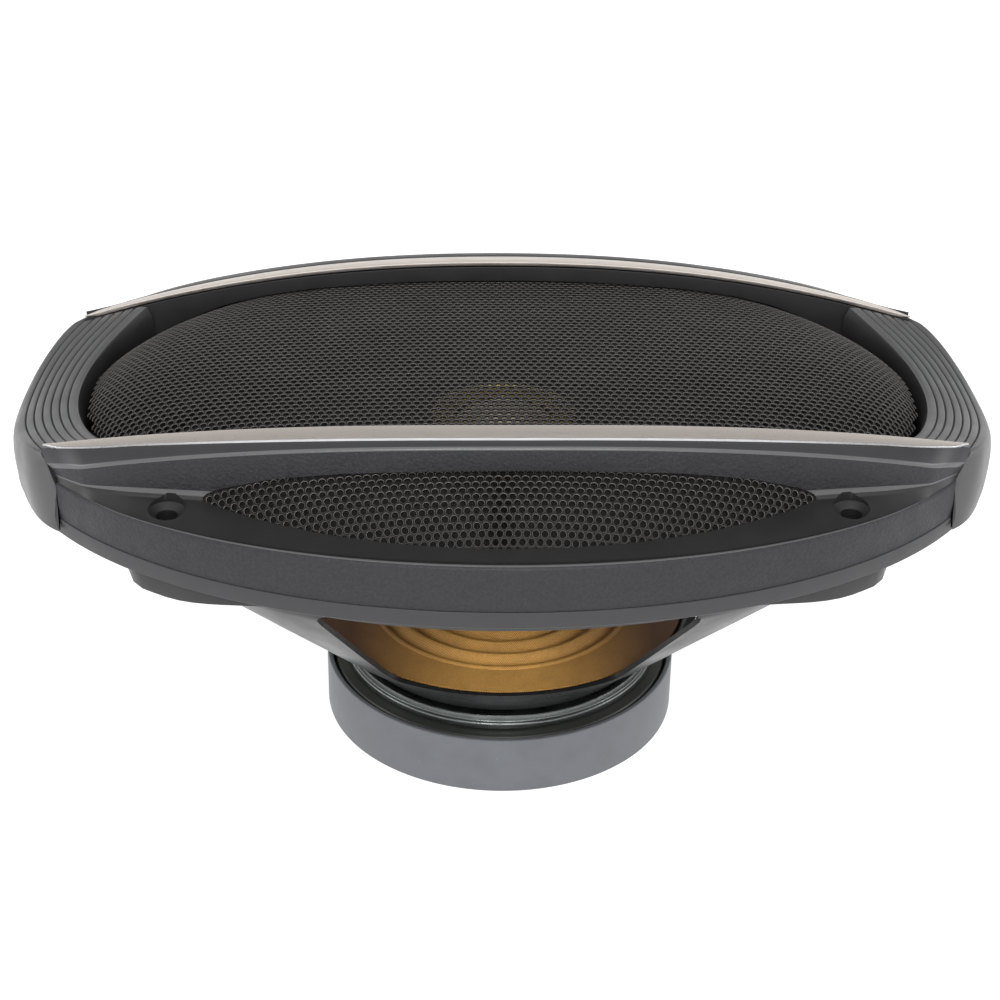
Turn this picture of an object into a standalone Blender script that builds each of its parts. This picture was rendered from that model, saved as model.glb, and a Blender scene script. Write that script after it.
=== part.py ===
"""Coaxial car speaker, 6 x 9 inch oval, with its grille, lying on the boot of its magnet.

Units are metres. +X is the long axis, +Z is the direction the sound leaves, and the
origin is the centre of the underside of the magnet boot.
"""
import bpy
import bmesh
from math import acos, atan2, cos, pi, radians, sin, sqrt, tan
from mathutils import Vector

MM = 0.001
GAP = 0.3                    # clearance between neighbouring solids, mm

# Driving dimensions, mm -----------------------------------------------------------------
# Grille
HALF_LENGTH = 120.0          # overall length 240
HALF_WIDTH = 83.5            # overall width 167
Z_MOUNT = 72.3               # underside of the grille base, where the speaker meets the car
Z_BAND = 76.4                # top of the smooth band under the side panels
Z_LIP_BASE = 73.4            # top of the base flange under the end caps
X_PART = 105.0               # side panels end and end caps begin here, at the trim's height
X_TRIM = 107.4               # tips of the trims
PART_LEAN = 0.06             # the parting line leans inwards by this much per mm downwards
CAP_HALF_WIDTH = 96.5        # the end caps' outline bulges past the base oval
SCREW_X = 77.4               # mounting screws, half spacing
SCREW_Y = 54.7
SCREW_R = 2.5
SCREW_HEAD_R = 4.3
PANEL_WALL = 2.2

# Mesh dome
MESH_A = 106.0
MESH_B = 74.5
MESH_TOP = 99.5
MESH_THICK = 0.8

# Frame
FLANGE_A = 114.5
FLANGE_B = 80.5
FLANGE_TOP = 71.8
LEDGE_Z = 67.4               # seat of the surround's outer lip, middle of the steel
STEEL = 1.2
EAR_BULGE = 3.8              # how far the four screw ears stand out, and how deep their pads are
EAR_DEPTH = 3.0
WINDOW_HALF_ANGLE = radians(36.5)
SIDE_WINDOW_HALF_ANGLE = radians(36)
WINDOW_LOW = 29.0
WINDOW_HIGH = 63.5
WALL_LOW = (47.5, 43.5, 27.2)    # the flared wall runs between these: half axes and height
WALL_HIGH = (97.0, 69.5, 62.0)

# Motor
BOOT_R = 45.2
BOOT_H = 15.4
BOOT_WALL = 1.3
YOKE_R = 40.4
MAGNET_R = 43.2
PLATE_R = 40.4
PLATE_LOW = 15.4
PLATE_TOP = 19.0
POLE_R = 14.0
POLE_BORE_R = 4.0
POLE_TOP = 19.6
COIL_GAP_R = 16.7

# Moving parts
FORMER_IN_R = 14.45
FORMER_OUT_R = 14.9
COIL_OUT_R = 16.0
CONE_A = 87.0
CONE_B = 57.5
CONE_NECK_R = 15.3
EDGE_THICK = 0.8             # surround rubber
ROLL_POINTS = 6
CONE_NECK_Z = 33.0
CONE_RIM_Z = 65.5
SPIDER_Z = 28.9
SPIDER_WAVE = 0.9
SPIDER_WAVES_R = 33.6
SPIDER_A = 47.0              # the flat rim is oval, as the frame's foot is
SPIDER_B = 42.9

# Terminals
BOARD_DIRECTION = radians(133)   # on the arm at the left of the rear
BOARD_Z = 46.0

# Tweeter
POST_R = 3.6
TWEETER_R = 18.0
TWEETER_LOW = 71.0
TWEETER_TOP = 84.0
DOME_R = 10.0

PARTS = bpy.data.collections.new("coaxial_speaker")
CUTTERS = bpy.data.collections.new("cutters")


# Grille lines: how the trims, ridges and edges run along X ------------------------------

def ridge_y(x):
    """Inner edge of the trim strip."""
    return 46.5 - 11.1 * (x / 107.6) ** 2


def ridge_z(x):
    """Height of the trim strip's inner edge."""
    return 103.4 - 10.6 * (abs(x) / 107.6) ** 2.3


def trim_width(x):
    """Width of the trim strip, narrowing towards its tips."""
    reach = abs(x) / 87.0
    if reach < 1.0:
        return 5.9 - 1.9 * reach ** 3
    return 4.0 - 2.6 * ((abs(x) - 87.0) / 20.4) ** 2


def shoulder(x):
    """Edge where the smooth slope beside the trim ends, as (y, z)."""
    reach = abs(x) / 102.5
    fall = reach ** 12
    return 55.7 - 9.5 * reach ** 2 - 3.3 * fall, 102.2 - 10.4 * reach ** 2.3 - 1.8 * fall


def oval_y(x, a, b):
    """The y of an ellipse of half axes a, b at x."""
    return b * sqrt(max(0.0, 1.0 - (x / a) ** 2))


def mesh_z(x, y):
    """Height of the mesh dome: nearly flat in the middle, rolling down at its rim."""
    rho2 = (x / MESH_A) ** 2 + (y / MESH_B) ** 2
    return MESH_TOP - 4.6 * rho2 - 12.0 * rho2 ** 5


def part_reach(z):
    """The x where side panels meet the end caps at height z."""
    return X_PART - PART_LEAN * (93.0 - z)


def leaned(x, z):
    """Station x of a side panel, drawn in towards the leaning parting line at height z."""
    return x * part_reach(z) / X_PART


def cap_z(x, y, lift=0.0):
    """Height of the end caps' ribbed face: low on the long axis, rising to the trims."""
    middle = 89.3 - 0.012 * max(0.0, abs(x) - 100.0) ** 2
    side = ridge_z(min(abs(x), 107.6)) - 1.4
    share = min(1.0, abs(y) / ridge_y(min(abs(x), 107.6))) ** 2
    return middle + (side - middle) * share + lift


# Building helpers -----------------------------------------------------------------------

def material(name, colour, roughness, metallic=0.0):
    made = bpy.data.materials.new(name)
    made.use_nodes = True
    shader = made.node_tree.nodes["Principled BSDF"]
    shader.inputs["Base Color"].default_value = (*colour, 1.0)
    shader.inputs["Roughness"].default_value = roughness
    shader.inputs["Metallic"].default_value = metallic
    made.diffuse_color = (*colour, 1.0)
    return made


def place(mesh, name, mat=None, group=None):
    """Link a mesh as a named object, shaded smooth up to 35 degrees."""
    obj = bpy.data.objects.new(name, mesh)
    (group or PARTS).objects.link(obj)
    if mat:
        mesh.materials.append(mat)
    mesh.shade_smooth()
    mesh.set_sharp_from_angle(angle=radians(35))
    return obj


def cutter(obj):
    obj.hide_render = True
    obj.display_type = "WIRE"
    return obj


def cut(target, tool, operation="DIFFERENCE"):
    boolean = target.modifiers.new("cut", "BOOLEAN")
    boolean.operation = operation
    boolean.solver = "EXACT"
    boolean.object = tool


def turned(name, profile, mat, steps=32, closed=False, group=None):
    """Turn a profile of (radius, height) in mm; it runs down its outer side."""
    mesh = bpy.data.meshes.new(name)
    points = [(r * MM, 0.0, z * MM) for r, z in profile]
    edges = [(i, i + 1) for i in range(len(points) - 1)]
    if closed:
        edges.append((len(points) - 1, 0))
    mesh.from_pydata(points, edges, [])
    obj = place(mesh, name, mat, group)
    screw = obj.modifiers.new("turn", "SCREW")
    screw.axis = "Z"
    screw.angle = 2 * pi
    screw.steps = steps
    screw.render_steps = steps
    screw.use_merge_vertices = True
    screw.merge_threshold = 0.00001
    screw.use_smooth_shade = True
    return obj


def loft(name, sections, mat=None, ring=False, group=None):
    """Skin a row of closed sections of equal point counts, in mm; a ring is triangulated."""
    count = len(sections[0])
    form = bmesh.new()
    rows = [[form.verts.new(Vector(p) * MM) for p in section] for section in sections]
    spans = len(rows) if ring else len(rows) - 1
    for i in range(spans):
        here, there = rows[i], rows[(i + 1) % len(rows)]
        for k in range(count):
            nxt = (k + 1) % count
            form.faces.new((here[k], here[nxt], there[nxt], there[k]))
    if not ring:
        form.faces.new(rows[0])
        form.faces.new(rows[-1])
    bmesh.ops.recalc_face_normals(form, faces=form.faces)
    if ring:
        bmesh.ops.triangulate(form, faces=form.faces)
    mesh = bpy.data.meshes.new(name)
    form.to_mesh(mesh)
    form.free()
    return place(mesh, name, mat, group)


def around(steps, start=0.0, sweep=2 * pi):
    """Angles of a full turn, or of an arc with both its ends."""
    if sweep >= 2 * pi:
        return [start + sweep * i / steps for i in range(steps)]
    return [start + sweep * i / steps for i in range(steps + 1)]


def oval_ring(name, profile, mat, steps=64, group=None):
    """Loft a ring whose profile is a list of (half axis a, half axis b, height)."""
    sections = []
    for t in around(steps):
        sections.append([(a * cos(t), b * sin(t), z) for a, b, z in profile])
    return loft(name, sections, mat, ring=True, group=group)


def prism(name, outline, low, high):
    """An upright cutter over a plan outline in mm."""
    sections = [[(x, y, z) for x, y in outline] for z in (low, high)]
    return cutter(loft(name, sections, group=CUTTERS))


def wire(name, points, radius, mat):
    """A lead that follows points in mm on a round section."""
    curve = bpy.data.curves.new(name, "CURVE")
    curve.dimensions = "3D"
    curve.bevel_depth = radius * MM
    curve.bevel_resolution = 2
    curve.use_fill_caps = True
    spline = curve.splines.new("POLY")
    spline.points.add(len(points) - 1)
    for spot, p in zip(spline.points, points):
        spot.co = (*(Vector(p) * MM), 1.0)
    curve.materials.append(mat)
    obj = bpy.data.objects.new(name, curve)
    PARTS.objects.link(obj)
    return obj


def block(name, centre, size, mat, bevel=0.0):
    """A box by its centre and size in mm, its edges rounded."""
    form = bmesh.new()
    bmesh.ops.create_cube(form, size=1.0)
    for vert in form.verts:
        vert.co = Vector([c * s * MM for c, s in zip(vert.co, size)])
    mesh = bpy.data.meshes.new(name)
    form.to_mesh(mesh)
    form.free()
    obj = place(mesh, name, mat)
    obj.location = Vector(centre) * MM
    if bevel:
        rounding = obj.modifiers.new("edges", "BEVEL")
        rounding.width = bevel * MM
        rounding.segments = 2
    return obj


# Cutters shared by the grille pieces ----------------------------------------------------

def dome_cutter():
    """The space under and just above the mesh, kept clear of the grille mouldings."""
    form = bmesh.new()
    steps = 48
    rings = []
    for share in (0.3, 0.55, 0.75, 0.88, 0.98):
        ring = []
        for t in around(steps):
            x, y = share * MESH_A * cos(t), share * MESH_B * sin(t)
            ring.append(form.verts.new(Vector((x, y, mesh_z(x, y) + 0.5)) * MM))
        rings.append(ring)
    top = form.verts.new(Vector((0, 0, MESH_TOP + 0.5)) * MM)
    base = []
    for t in around(steps):
        low = (0.98 * MESH_A * cos(t), 0.98 * MESH_B * sin(t), 70.0)
        base.append(form.verts.new(Vector(low) * MM))
    rings.append(base)
    for i in range(steps):
        nxt = (i + 1) % steps
        form.faces.new((top, rings[0][i], rings[0][nxt]))
        for inner, outer in zip(rings, rings[1:]):
            form.faces.new((inner[i], outer[i], outer[nxt], inner[nxt]))
    form.faces.new(list(reversed(base)))
    bmesh.ops.recalc_face_normals(form, faces=form.faces)
    mesh = bpy.data.meshes.new("mesh_space")
    form.to_mesh(mesh)
    form.free()
    return cutter(place(mesh, "mesh_space", group=CUTTERS))


def screw_cutter(index, x, y, floor):
    """Clearance hole with a countersink from the recess floor."""
    profile = [(0.0, floor + 1.6), (SCREW_HEAD_R, floor + 1.6), (SCREW_HEAD_R, floor - 1.2),
               (SCREW_R, floor - 2.6), (SCREW_R, 66.0), (0.0, 66.0)]
    hole = turned(f"screw_hole_{index}", profile, None, steps=16, group=CUTTERS)
    hole.location = (x * MM, y * MM, 0.0)
    return cutter(hole)


def window_outline(side):
    """Plan of the eye-shaped side window, on the side of +Y or -Y."""
    tip_x, tip_y = 69.3, 52.3
    low = []
    high = []
    for i in range(21):
        x = -tip_x + 2 * tip_x * i / 20
        low.append((x, side * oval_y(x, 98.8, 73.4)))
        high.append((x, side * (56.17 - 3.86 * (x / tip_x) ** 2)))
    inner = high[1:-1]
    return low + list(reversed(inner))


# Grille ---------------------------------------------------------------------------------

def base_ring(mat, holes):
    """Oval base: a smooth band under the side panels, a thin flange under the end caps."""
    part_x = part_reach(Z_BAND)
    part_t = acos(part_x / HALF_LENGTH)
    angles = around(64)
    steps = sorted(angles + [s + d for s in (part_t, pi - part_t, pi + part_t, 2 * pi - part_t)
                             for d in (-0.001, 0.001)])
    sections = []
    for t in steps:
        under_cap = abs(HALF_LENGTH * cos(t)) > part_x
        top = Z_LIP_BASE if under_cap else Z_BAND
        outer = [(HALF_LENGTH, HALF_WIDTH, top), (HALF_LENGTH, HALF_WIDTH, Z_MOUNT),
                 (107.0, 71.0, Z_MOUNT), (107.0, 71.0, top)]
        sections.append([(a * cos(t), b * sin(t), z) for a, b, z in outer])
    ring = loft("base_ring", sections, mat, ring=True)
    for hole in holes:
        cut(ring, hole)
    return ring


def panel_section(x, side):
    """Section of a textured side panel at x: ridge, recess floor, lip and outer wall."""
    lip_z = 87.3 - 1.8 * (x / 90.0) ** 2
    lip_x = leaned(x, lip_z)
    band_x = leaned(x, Z_BAND)
    inner = ridge_y(x)
    lip_y = oval_y(lip_x, 119.4, 82.4)
    band_y = oval_y(band_x, 119.7, 83.2)
    room = lip_y - inner
    width = trim_width(x)
    drop = tan(radians(7)) * width
    seat_y = inner + width + 0.15
    edge_y, edge_z = shoulder(x)
    edge_y = max(min(edge_y, lip_y - 0.25 * room), seat_y + 0.2)
    splay = 1.2 * max(0.0, 1.0 - (x / 75.0) ** 2) + 0.12
    foot_y = max(min(edge_y + splay, lip_y - 0.12 * room), edge_y + 0.1)
    foot_z = min(88.4 - 1.6 * (abs(x) / 100.0) ** 6, edge_z - 1.0)
    wall_in = min(PANEL_WALL, 0.5 * room)
    outline = [
        (inner, lip_z - 3.0), (inner, ridge_z(x) - 1.5), (seat_y - 0.15, ridge_z(x) - 1.5 - drop),
        (seat_y, ridge_z(x) - drop - 0.1), (edge_y, edge_z), (foot_y, foot_z),
        (lip_y - 0.3, lip_z + 0.1), (lip_y, lip_z - 0.3), (band_y, Z_BAND + GAP),
        (band_y - wall_in, Z_BAND + GAP), (lip_y - wall_in, lip_z - 3.0),
    ]
    return [(leaned(x, z), side * y, z) for y, z in outline]


def side_panel(name, side, mat, dome, window, holes):
    """Textured side panel, cut by the side window, the mesh space and the screw holes."""
    stations = [X_PART * sin(pi / 2 * (2 * i / 24 - 1)) for i in range(25)]
    panel = loft(name, [panel_section(x, side) for x in stations], mat)
    cut(panel, window)
    cut(panel, dome)
    for hole in holes:
        cut(panel, hole)
    return panel


def trim_strip(name, side, mat):
    """Metal-look strip lying on the ridge of a side panel."""
    sections = []
    for i in range(29):
        x = X_TRIM * sin(pi / 2 * (2 * i / 28 - 1))
        inner, top, width = ridge_y(x), ridge_z(x), trim_width(x)
        drop = tan(radians(7)) * width
        sections.append([(x, side * inner, top), (x, side * (inner + width), top - drop),
                         (x, side * (inner + width), top - drop - 1.1),
                         (x, side * inner, top - 1.1)])
    return loft(name, sections, mat)


def cap_section(t):
    """Section of an end cap at ellipse angle t: skirt, rounded edge, face, inner wall."""
    def at(inset, z=None, drop=0.0):
        a = HALF_LENGTH - inset
        b = CAP_HALF_WIDTH - inset * 0.95
        x, y = a * cos(t), b * sin(t)
        return x, y, cap_z(x, y, -drop) if z is None else z
    return [at(0.6, Z_LIP_BASE + GAP), at(0.0, 80.0), at(0.3, 84.5), at(1.0, 87.0),
            at(2.0, drop=1.0), at(3.6, drop=0.2), at(8.0), at(12.5), at(15.6, drop=0.3),
            at(16.6, drop=2.4), at(17.0, 82.0), at(3.0, 82.0), at(2.8, Z_LIP_BASE + GAP)]


def end_cap(name, side, mat, dome, beside):
    """Ribbed end cap, trimmed along both strips and round the mesh."""
    middle = 0.0 if side > 0 else pi
    sweep = radians(64)
    angles = around(22, middle - sweep / 2, sweep)
    cap = loft(name, [cap_section(t) for t in angles], mat)
    for tool in beside:
        cut(cap, tool)
    cut(cap, dome)
    return cap


def strip_side_cutter(name, side):
    """Everything on the outer side of a trim strip's inner edge, between the end caps."""
    sections = []
    for z in (60.0, 115.0):
        reach = part_reach(z) + GAP
        section = []
        for i in range(25):
            share = 2 * i / 24 - 1
            edge_y = ridge_y(share * (X_PART + GAP)) - GAP
            section.append((share * reach, side * edge_y, z))
        section += [(reach, side * 110, z), (-reach, side * 110, z)]
        sections.append(section)
    return cutter(loft(name, sections, group=CUTTERS))


def grille_mesh(mat):
    """Domed steel sheet; its perforation is too fine for this model and is left plain."""
    steps = 40
    shares = (0.3, 0.55, 0.75, 0.88, 0.965)
    form = bmesh.new()
    layers = []
    for lower in (0.0, MESH_THICK):
        rings = []
        for share in shares:
            ring = []
            for t in around(steps):
                x, y = share * MESH_A * cos(t), share * MESH_B * sin(t)
                ring.append(form.verts.new(Vector((x, y, mesh_z(x, y) - lower)) * MM))
            rings.append(ring)
        centre = form.verts.new(Vector((0, 0, MESH_TOP - lower)) * MM)
        layers.append((centre, rings))
    for centre, rings in layers:
        for i in range(steps):
            nxt = (i + 1) % steps
            form.faces.new((centre, rings[0][i], rings[0][nxt]))
            for inner, outer in zip(rings, rings[1:]):
                form.faces.new((inner[i], outer[i], outer[nxt], inner[nxt]))
    top_rim, low_rim = layers[0][1][-1], layers[1][1][-1]
    for i in range(steps):
        nxt = (i + 1) % steps
        form.faces.new((top_rim[i], low_rim[i], low_rim[nxt], top_rim[nxt]))
    bmesh.ops.recalc_face_normals(form, faces=form.faces)
    mesh = bpy.data.meshes.new("grille_mesh")
    form.to_mesh(mesh)
    form.free()
    return place(mesh, "grille_mesh", mat)


# Frame ----------------------------------------------------------------------------------

def ear_share(t):
    """How much of a screw ear the flange has at ellipse angle t, from 0 to 1."""
    ear = acos(SCREW_X / FLANGE_A)
    folded = abs(((t + pi / 2) % pi) - pi / 2)
    return min(1.0, 1.6 * max(0.0, 1.0 - ((folded - ear) / 0.24) ** 2))


def offset_line(line, distance):
    """A section line of (a, b, z) moved sideways by a distance; it starts level."""
    moved = []
    for k, (a, b, z) in enumerate(line):
        before = line[max(0, k - 1)]
        after = line[k] if k == 1 else line[min(len(line) - 1, k + 1)]
        along = Vector((after[0] - before[0], after[2] - before[2])).normalized()
        out = Vector((along.y, -along.x)) * distance
        moved.append((a + out.x, b + out.x, z + out.y))
    return moved


def basket(mat, windows, holes):
    """Pressed steel frame: flange with four ear pads, flared wall, ledge and foot."""
    sections = []
    flange_z = FLANGE_TOP - STEEL / 2
    for t in around(48):
        share = ear_share(t)
        reach = EAR_BULGE * share
        drop = EAR_DEPTH * share
        line = [(FLANGE_A + reach, FLANGE_B + reach * 0.6, flange_z), (107.0, 77.2, flange_z),
                (105.6, 75.8, LEDGE_Z), (99.5, 70.8, LEDGE_Z), WALL_HIGH, WALL_LOW,
                (43.0, 42.0, 25.6), (38.0, 38.0, 20.2), (27.0, 27.0, 20.0)]
        top = offset_line(line, -STEEL / 2)
        under = offset_line(line, STEEL / 2)
        if top[0][2] < under[0][2]:
            top, under = under, top
        rim_a, rim_b, rim_z = under[0]
        pad = [(rim_a, rim_b, rim_z - drop), (108.6, 78.6, rim_z - drop), (107.9, 77.9, rim_z)]
        outline = top + list(reversed(pad + under[1:]))
        sections.append([(a * cos(t), b * sin(t), z) for a, b, z in outline])
    frame = loft("basket", sections, mat, ring=True)
    for tool in windows + holes:
        cut(frame, tool)
    return frame


def window_cutters():
    """Four sector-shaped windows between the arms of the basket."""
    cutters = []
    for i in range(4):
        facing = i * pi / 2
        half = WINDOW_HALF_ANGLE if i % 2 else SIDE_WINDOW_HALF_ANGLE
        outline = [(24 * cos(facing + s), 24 * sin(facing + s)) for s in (half, -half)]
        outline += [(150 * cos(facing + s), 150 * sin(facing + s)) for s in (-half, half)]
        cutters.append(prism(f"basket_window_{i}", outline, WINDOW_LOW, WINDOW_HIGH))
    return cutters


def surround(mat):
    """Half-roll edge between the cone's rim and the basket's flange."""
    low = CONE_RIM_Z + 1.2
    high = LEDGE_Z + STEEL / 2 + GAP + EDGE_THICK
    top = [(0.4, low)]
    for i in range(ROLL_POINTS):
        turn = pi * i / (ROLL_POINTS - 1)
        share = i / (ROLL_POINTS - 1)
        top.append((7.2 - 4.9 * cos(turn), low + (high - low) * share + 4.9 * sin(turn)))
    top.append((17.6, high))
    line = top + [(out, z - EDGE_THICK) for out, z in reversed(top)]
    return oval_ring("surround", [(CONE_A + d, CONE_B + d, z) for d, z in line], mat, steps=40)


def clamp_ring(mat):
    """Ring that presses the surround's outer lip into the frame."""
    low = LEDGE_Z + STEEL / 2 + EDGE_THICK + 2 * GAP
    top = Z_MOUNT - GAP
    profile = [(18.0, top), (18.0, low), (13.8, low), (13.8, top)]
    return oval_ring("clamp_ring", [(CONE_A + d, CONE_B + d, z) for d, z in profile], mat, 40)


def cone(mat):
    """Cone from a round neck to an oval rim."""
    sections = []
    levels = (0.0, 0.15, 0.5, 1.0)
    for t in around(36):
        top = []
        for s in levels:
            bow = s ** 1.15
            a = CONE_NECK_R + (CONE_A - CONE_NECK_R) * s
            b = CONE_NECK_R + (CONE_B - CONE_NECK_R) * s
            z = CONE_NECK_Z + (CONE_RIM_Z - CONE_NECK_Z) * bow
            top.append((a * cos(t), b * sin(t), z))
        under = [(x, y, z - 0.9) for x, y, z in reversed(top)]
        sections.append(top + under)
    return loft("cone", sections, mat, ring=True)


def spider(mat):
    """Corrugated cloth disc that centres the voice coil; its flat rim fills the frame's foot."""
    top = []
    rings = 8
    for i in range(rings + 1):
        r = CONE_NECK_R + (SPIDER_WAVES_R - CONE_NECK_R) * i / rings
        top.append((r, r, SPIDER_Z + SPIDER_WAVE * sin(pi * i / 2)))
    top.append((SPIDER_A, SPIDER_B, SPIDER_Z - 0.3))
    under = [(a, b, z - 0.6) for a, b, z in reversed(top)]
    return oval_ring("spider", top + under, mat, steps=48)


# Terminals ------------------------------------------------------------------------------

def arm_point(direction, z, out=0.0):
    """Point and outward normal on the basket's wall at a compass direction and height."""
    low, high = Vector(WALL_LOW), Vector(WALL_HIGH)
    a, b, _ = low.lerp(high, (z - low.z) / (high.z - low.z))
    t = atan2(a * sin(direction), b * cos(direction))
    spot = Vector((a * cos(t), b * sin(t), z))
    along = Vector((-a * sin(t), b * cos(t), 0.0))
    slope = high - low
    rise = Vector((slope.x * cos(t), slope.y * sin(t), slope.z))
    normal = along.cross(rise).normalized()
    return spot + normal * out, normal


def terminal_set(board_mat, blade_mat, can_mat):
    """Terminal board on a rear arm, with two blades, two rivets and the crossover capacitor."""
    centre, normal = arm_point(BOARD_DIRECTION, BOARD_Z, STEEL / 2 + 1.6)
    seat = bpy.data.objects.new("terminal_seat", None)
    PARTS.objects.link(seat)
    seat.location = centre * MM
    seat.rotation_euler = normal.to_track_quat("Z", "Y").to_euler()
    pieces = [block("terminal_board", (0, 0, 0), (20, 24, 1.6), board_mat, 0.3)]
    for name, x, wide in (("terminal_plus", 5.5, 4.8), ("terminal_minus", -5.5, 2.8)):
        pieces.append(block(name, (x, -9.5, 0.8 + GAP + 0.4), (wide, 14, 0.8), blade_mat, 0.15))
    for i, x in enumerate((6.8, -6.8)):
        rivet = turned(f"board_rivet_{i + 1}", [(0, 2.0), (1.6, 1.6), (1.9, 1.2), (1.9, 1.1), (0, 1.1)],
                       blade_mat, steps=12)
        rivet.location = Vector((x, 9.0, 0)) * MM
        pieces.append(rivet)
    can = turned("crossover_capacitor", [(0, 8), (4.3, 8), (4.8, 7.4), (4.8, -7.4), (4.3, -8), (0, -8)],
                 can_mat, steps=20)
    can.rotation_euler = (0, pi / 2, 0)
    can.location = Vector((0, 3.2, 0.8 + GAP + 4.8)) * MM
    pieces.append(can)
    for piece in pieces:
        piece.parent = seat


def lead_route(side):
    """Tinsel lead: from the board's edge, round the arm's edge, to under the cone's neck."""
    turn = radians(13) * side
    start, normal = arm_point(BOARD_DIRECTION + turn * 0.62, BOARD_Z + 2, 4.2)
    edge, _ = arm_point(BOARD_DIRECTION + turn * 1.35, BOARD_Z + 1, 3.6)
    inside, _ = arm_point(BOARD_DIRECTION + turn * 1.6, BOARD_Z - 3, -9.0)
    heading = BOARD_DIRECTION + turn * 1.3
    end = Vector((25.0 * cos(heading), 25.0 * sin(heading), 34.0))
    near = end + Vector((9 * cos(heading), 9 * sin(heading), -1.0))
    knots = [start, edge, inside, near, end]
    spots = []
    for i in range(len(knots) - 1):
        before = knots[max(0, i - 1)]
        after = knots[min(len(knots) - 1, i + 2)]
        for k in range(5):
            spots.append(catmull(before, knots[i], knots[i + 1], after, k / 5))
    return spots + [end]


def catmull(p0, p1, p2, p3, s):
    """Point on a Catmull-Rom span between p1 and p2."""
    return 0.5 * (2 * p1 + (p2 - p0) * s + (2 * p0 - 5 * p1 + 4 * p2 - p3) * s ** 2
                  + (3 * p1 - p0 - 3 * p2 + p3) * s ** 3)


# Assembly -------------------------------------------------------------------------------

def build_grille():
    smooth = material("grille_plastic", (0.045, 0.046, 0.05), 0.38)
    grain = material("panel_plastic", (0.05, 0.052, 0.058), 0.55)
    metal = material("trim_metal", (0.55, 0.5, 0.45), 0.35, 1.0)
    steel = material("mesh_steel", (0.02, 0.02, 0.02), 0.4, 0.5)
    dome = dome_cutter()
    spots = [(SCREW_X, SCREW_Y), (-SCREW_X, SCREW_Y), (-SCREW_X, -SCREW_Y), (SCREW_X, -SCREW_Y)]
    holes = [screw_cutter(i, x, y, 87.2) for i, (x, y) in enumerate(spots)]
    base_ring(smooth, holes)
    beside = [strip_side_cutter(f"strip_side_{i}", side) for i, side in enumerate((1, -1))]
    for side, word in ((-1, "front"), (1, "rear")):
        window = prism(f"side_window_{word}", window_outline(side), 84, 104)
        near = [hole for hole, (x, y) in zip(holes, spots) if y * side > 0]
        side_panel(f"side_panel_{word}", side, grain, dome, window, near)
        trim_strip(f"trim_strip_{word}", side, metal)
    for side, word in ((-1, "left"), (1, "right")):
        end_cap(f"end_cap_{word}", side, smooth, dome, beside)
    grille_mesh(steel)
    return holes


def build_frame(holes):
    painted = material("basket_paint", (0.03, 0.03, 0.032), 0.35, 0.2)
    basket(painted, window_cutters(), holes)
    clamp_ring(material("clamp_card", (0.05, 0.05, 0.05), 0.8))


def build_motor():
    rubber = material("boot_rubber", (0.2, 0.21, 0.22), 0.5)
    zinc = material("zinc_steel", (0.62, 0.62, 0.6), 0.3, 1.0)
    ferrite = material("ferrite", (0.04, 0.04, 0.042), 0.6)
    inner = BOOT_R - BOOT_WALL
    turned("magnet_boot", [(0, BOOT_WALL), (inner, BOOT_WALL), (inner, BOOT_H - 0.2),
                           (BOOT_R - 0.4, BOOT_H), (BOOT_R, BOOT_H - 0.5), (BOOT_R, 0.4),
                           (BOOT_R - 0.4, 0), (0, 0)], rubber, steps=48)
    low = BOOT_WALL + GAP
    turned("t_yoke", [(POLE_BORE_R, POLE_TOP), (POLE_R, POLE_TOP), (POLE_R, 6.4),
                      (YOKE_R, 6.4), (YOKE_R, low), (POLE_BORE_R, low)], zinc, closed=True)
    turned("magnet", [(22.0, PLATE_LOW - GAP), (MAGNET_R, PLATE_LOW - GAP),
                      (MAGNET_R, 6.4 + GAP), (22.0, 6.4 + GAP)], ferrite, closed=True)
    turned("top_plate", [(COIL_GAP_R, PLATE_TOP), (PLATE_R - 1.2, PLATE_TOP),
                         (PLATE_R, PLATE_TOP - 1.2), (PLATE_R, PLATE_LOW + 0.6),
                         (PLATE_R - 0.6, PLATE_LOW), (COIL_GAP_R, PLATE_LOW)],
           zinc, closed=True)


def build_moving():
    paper = material("cone_paper", (0.03, 0.03, 0.032), 0.75)
    edge = material("surround_rubber", (0.015, 0.015, 0.015), 0.6)
    cloth = material("spider_cloth", (0.45, 0.25, 0.08), 0.85)
    kapton = material("former_film", (0.3, 0.12, 0.03), 0.4)
    copper = material("coil_copper", (0.6, 0.25, 0.1), 0.35, 1.0)
    cone(paper)
    surround(edge)
    spider(cloth)
    turned("coil_former", [(FORMER_IN_R, 34.0), (FORMER_OUT_R, 34.0), (FORMER_OUT_R, 11.6),
                           (FORMER_IN_R, 11.6)], kapton, closed=True)
    turned("voice_coil", [(FORMER_OUT_R + 0.2, 22.2), (COIL_OUT_R, 22.2), (COIL_OUT_R, 12.2),
                          (FORMER_OUT_R + 0.2, 12.2)], copper, closed=True)


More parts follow.
